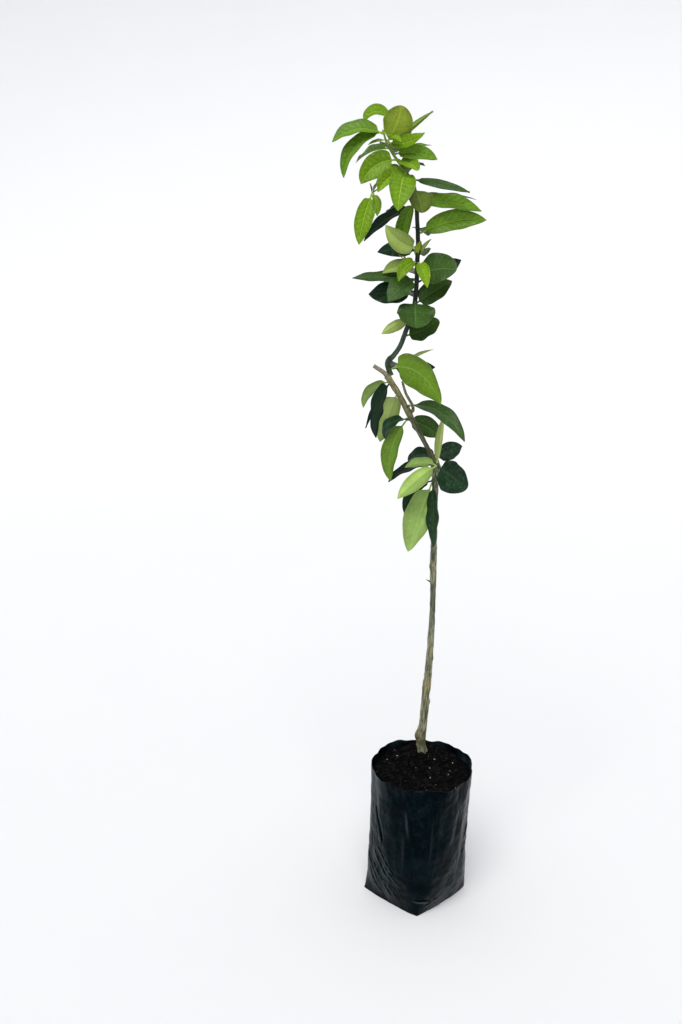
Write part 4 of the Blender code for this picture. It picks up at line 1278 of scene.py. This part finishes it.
def add_leaf(piece, leaf, root, slots, rule):
    """Add one leaf, closed, from its petiole to its tip."""
    tone = TONES[leaf.tone]
    length = leaf.length * MM
    whims = [rule.uniform(0.0, 2.0 * math.pi) for _ in range(3)]
    tint = rule.random()
    twist = rule.uniform(-7.0, 7.0)
    points, maps, grain = [], [], []
    apart = rule.uniform(0.0, 1.0)
    spot = root
    reached = 0.0
    shares = leaf_shares()
    for share in shares:
        spot = spot + leaf_frame(leaf, 0.5 * (reached + share))[0] * length * (share - reached)
        reached = share
        turned_leaf = leaf._replace(tilt=leaf.tilt + twist * math.sin(math.pi * share))
        _, side, face = leaf_frame(turned_leaf, share)
        t = max((share - PETIOLE_SHARE) / (1.0 - PETIOLE_SHARE), 0.0)
        x, z = petiole_section(leaf, min(share, PETIOLE_SHARE))
        if t > 0.0:
            blade_x, blade_z = blade_section(leaf, tone, t, whims)
            w = float(smoothstep(0.0, 0.07, t))
            x = np.where(np.abs(blade_x) > np.abs(x), blade_x, x) * w + x * (1.0 - w)
            z = blade_z * w + z * (1.0 - w)
        points.append(np.array(spot) + np.outer(x, side) + np.outer(z, face))
        spread = 0.0 if t == 0.0 else float(smoothstep(0.0, 0.05, t))
        maps.append(np.stack((0.5 + 0.5 * RING_ACROSS * spread, np.full(RING_SIDES, t)), 1))
        grain.append(np.stack((x + apart, np.full(RING_SIDES, share * length), z), 1))
    faces = tube_faces(len(shares), RING_SIDES, outward=False)
    upper, under = slots
    ring = [upper] * UPPER_FACES + [under] * (RING_SIDES - UPPER_FACES)
    piece.add(np.concatenate(points), faces, ring * (len(shares) - 1) + [upper, upper],
              np.concatenate(maps), tint, np.concatenate(grain))


def back_leaves(spray, seed):
    """Leaves on the side away from the front, turned on from each other by a steady rule."""
    rule = random.Random(seed)
    low, high = BACK_ARC
    leaves = []
    for k in range(spray.back):
        share = (k + 0.5) / spray.back
        heading = low + (seed * BACK_SEED_TURN + k * BACK_LEAF_TURN) % (high - low)
        length = rule.uniform(*BACK_LENGTH)
        bend = rule.uniform(*BACK_BEND)
        width = BACK_WIDTH_SHARE * length
        leaves.append(Leaf(share, heading, BACK_RISE, bend, 0, length, width, "dark"))
    return leaves


def twig_path(twig, stem):
    """The bending path of a small twig that leaves a stem."""
    point, _ = at_share(stem, twig.share)
    path = []
    step = twig.length * MM / TWIG_STEPS
    for share in fractions(TWIG_STEPS):
        path.append((point, 0.5 * twig.d * MM * (1.0 - TWIG_TAPER * share)))
        point = point + aim(twig.heading, twig.rise - twig.bend * share) * step
    return path


def spray_stem(spray, limbs):
    """A spray's own stem: a stretch of the leader, or a short spur that flares into its limb."""
    if spray.spur is None:
        return part_of_path(limbs["leader"], spray.low * MM, spray.high * MM)
    heading, rise, length, d = spray.spur
    centre, axis, radius = path_at(limbs[spray.limb], spray.low * MM)
    out = aim(heading, rise)
    out = (out - axis * out.dot(axis)).normalized()
    root = centre + out * (radius - SPUR_SUNK)
    rows = []
    for share in fractions(SPUR_STEPS):
        flare = 1.0 + 0.5 * math.exp(-6.0 * share)
        reach = share * (length * MM + SPUR_SUNK)
        rows.append((root + out * reach, 0.5 * d * MM * (1.0 - (1.0 - SPUR_TAPER) * share) * flare))
    return rows


def dress_spray(spray, seed, limbs, leaf_materials, stem):
    """One mass: its stem, twigs and buds as one piece, and its leaves as another."""
    rule = random.Random(100 + seed)
    path = spray_stem(spray, limbs)
    twigs, leaves = Piece(), Piece()
    sides = LEADER_SIDES if spray.spur is None else TWIG_SIDES
    add_tube(twigs, path, sides, 0, stem_relief)
    grown = [(leaf, path) for leaf in (*spray.leaves, *back_leaves(spray, seed))]
    for twig in spray.twigs:
        own = twig_path(twig, path)
        add_tube(twigs, own, TWIG_SIDES, 0, stem_relief)
        grown += [(leaf, own) for leaf in twig.leaves]
    for leaf, parent in grown:
        centre, radius = at_share(parent, leaf.share)
        out = aim(leaf.heading, leaf.rise)
        root = centre + out * radius * (1.0 - ROOT_SUNK)
        add_leaf(leaves, leaf, root, LEAF_SLOTS[leaf.tone], rule)
        if leaf.length > BUDDING_LENGTH and parent is path:
            add_bud(twigs, centre + aim(leaf.heading, 60) * radius * 0.8, leaf.heading, 62, 2.6, 0)
    belongs(twigs.build("twigs_" + spray.name, [stem]), spray.name, spray.name)
    belongs(leaves.build("leaves_" + spray.name, leaf_materials, 80.0), spray.name, spray.name)


def make_sprays(limbs, stem):
    """Every mass of leaves."""
    materials = []
    for name, tone in TONES.items():
        upper = ("leaf_" + name, tone.upper, tone.vein, tone.rough, 0.17, tone.quilt, True)
        under = ("under_" + name, tone.under, tone.vein, 0.6, 0.12, 0.6 * tone.quilt, False)
        materials += [leaf_material(*upper), leaf_material(*under)]
    for seed, spray in enumerate(SPRAYS, start=1):
        dress_spray(spray, seed, limbs, materials, stem)


# Studio


def make_floor():
    """A round pale floor that sweeps up all round the object."""
    profile = [(0.0, 0.0), (FLOOR_RADIUS, 0.0)]
    for k in range(1, SWEEP_STEPS + 1):
        turn = 0.5 * math.pi * k / SWEEP_STEPS
        out = FLOOR_RADIUS + SWEEP_RADIUS * math.sin(turn)
        profile.append((out, SWEEP_RADIUS * (1.0 - math.cos(turn))))
    profile.append((FLOOR_RADIUS + SWEEP_RADIUS, SWEEP_TOP))
    vertices = [(0.0, 0.0, 0.0)]
    for out, z in profile[1:]:
        for k in range(FLOOR_SIDES):
            turn = 2.0 * math.pi * k / FLOOR_SIDES
            vertices.append((out * math.cos(turn), out * math.sin(turn), z))
    faces = [(0, k + 1, (k + 1) % FLOOR_SIDES + 1) for k in range(FLOOR_SIDES)]
    walls = tube_faces(len(profile) - 1, FLOOR_SIDES, outward=False, caps=False)
    faces += [tuple(i + 1 for i in face) for face in walls]
    mesh = bpy.data.meshes.new("studio_floor")
    mesh.from_pydata(vertices, [], faces)
    mesh.shade_smooth()
    mesh.materials.append(floor_material())
    floor = in_scene("studio_floor", mesh)


def make_sun():
    """A broad soft sun that shines down from the front."""
    light = bpy.data.lights.new("key_above", "SUN")
    light.angle = math.radians(SUN_SPREAD)
    light.energy = SUN_POWER
    light.color = SUN_COLOUR
    sun = in_scene("key_above", light)
    sun.rotation_euler = (-aim(SUN_HEADING, SUN_HEIGHT)).to_track_quat("-Z", "Y").to_euler()


def make_camera():
    """The camera that takes the photo's view."""
    camera = bpy.data.cameras.new("camera")
    camera.lens = CAMERA_LENS
    camera.sensor_width = SENSOR_LONG_SIDE
    thing = in_scene("camera", camera)
    thing.location = CAMERA_PLACE
    thing.rotation_euler = (math.radians(90.0 - CAMERA_PITCH), 0.0, 0.0)
    bpy.context.scene.camera = thing


def make_surround():
    """An even pale surround, shown by the plain view transform."""
    world = bpy.data.worlds.new("surround")
    world.use_nodes = True
    background = world.node_tree.nodes["Background"]
    background.inputs["Color"].default_value = (*SURROUND_COLOUR, 1.0)
    background.inputs["Strength"].default_value = SURROUND
    bpy.context.scene.world = world
    bpy.context.scene.view_settings.view_transform = "Standard"


def main():
    """The studio, the filled bag and the plant."""
    make_camera()
    make_surround()
    make_sun()
    make_floor()
    make_bag()
    make_soil()
    chip = crumb_material("bark_chip", (0.0007, 0.0007, 0.0008), (0.020, 0.016, 0.013), 0.85)
    white = crumb_material("perlite_grain", (0.42, 0.41, 0.38), (0.78, 0.77, 0.73), 0.9)
    scatter("potting_mix_chips", CHIPS, chip, (1.2, 4.2), 0.9, 11)
    scatter("potting_mix_perlite", PERLITE, white, (0.5, 1.6), 1.6, 23)
    make_fibres()
    limbs, stem = make_limbs()
    make_sprays(limbs, stem)


main()
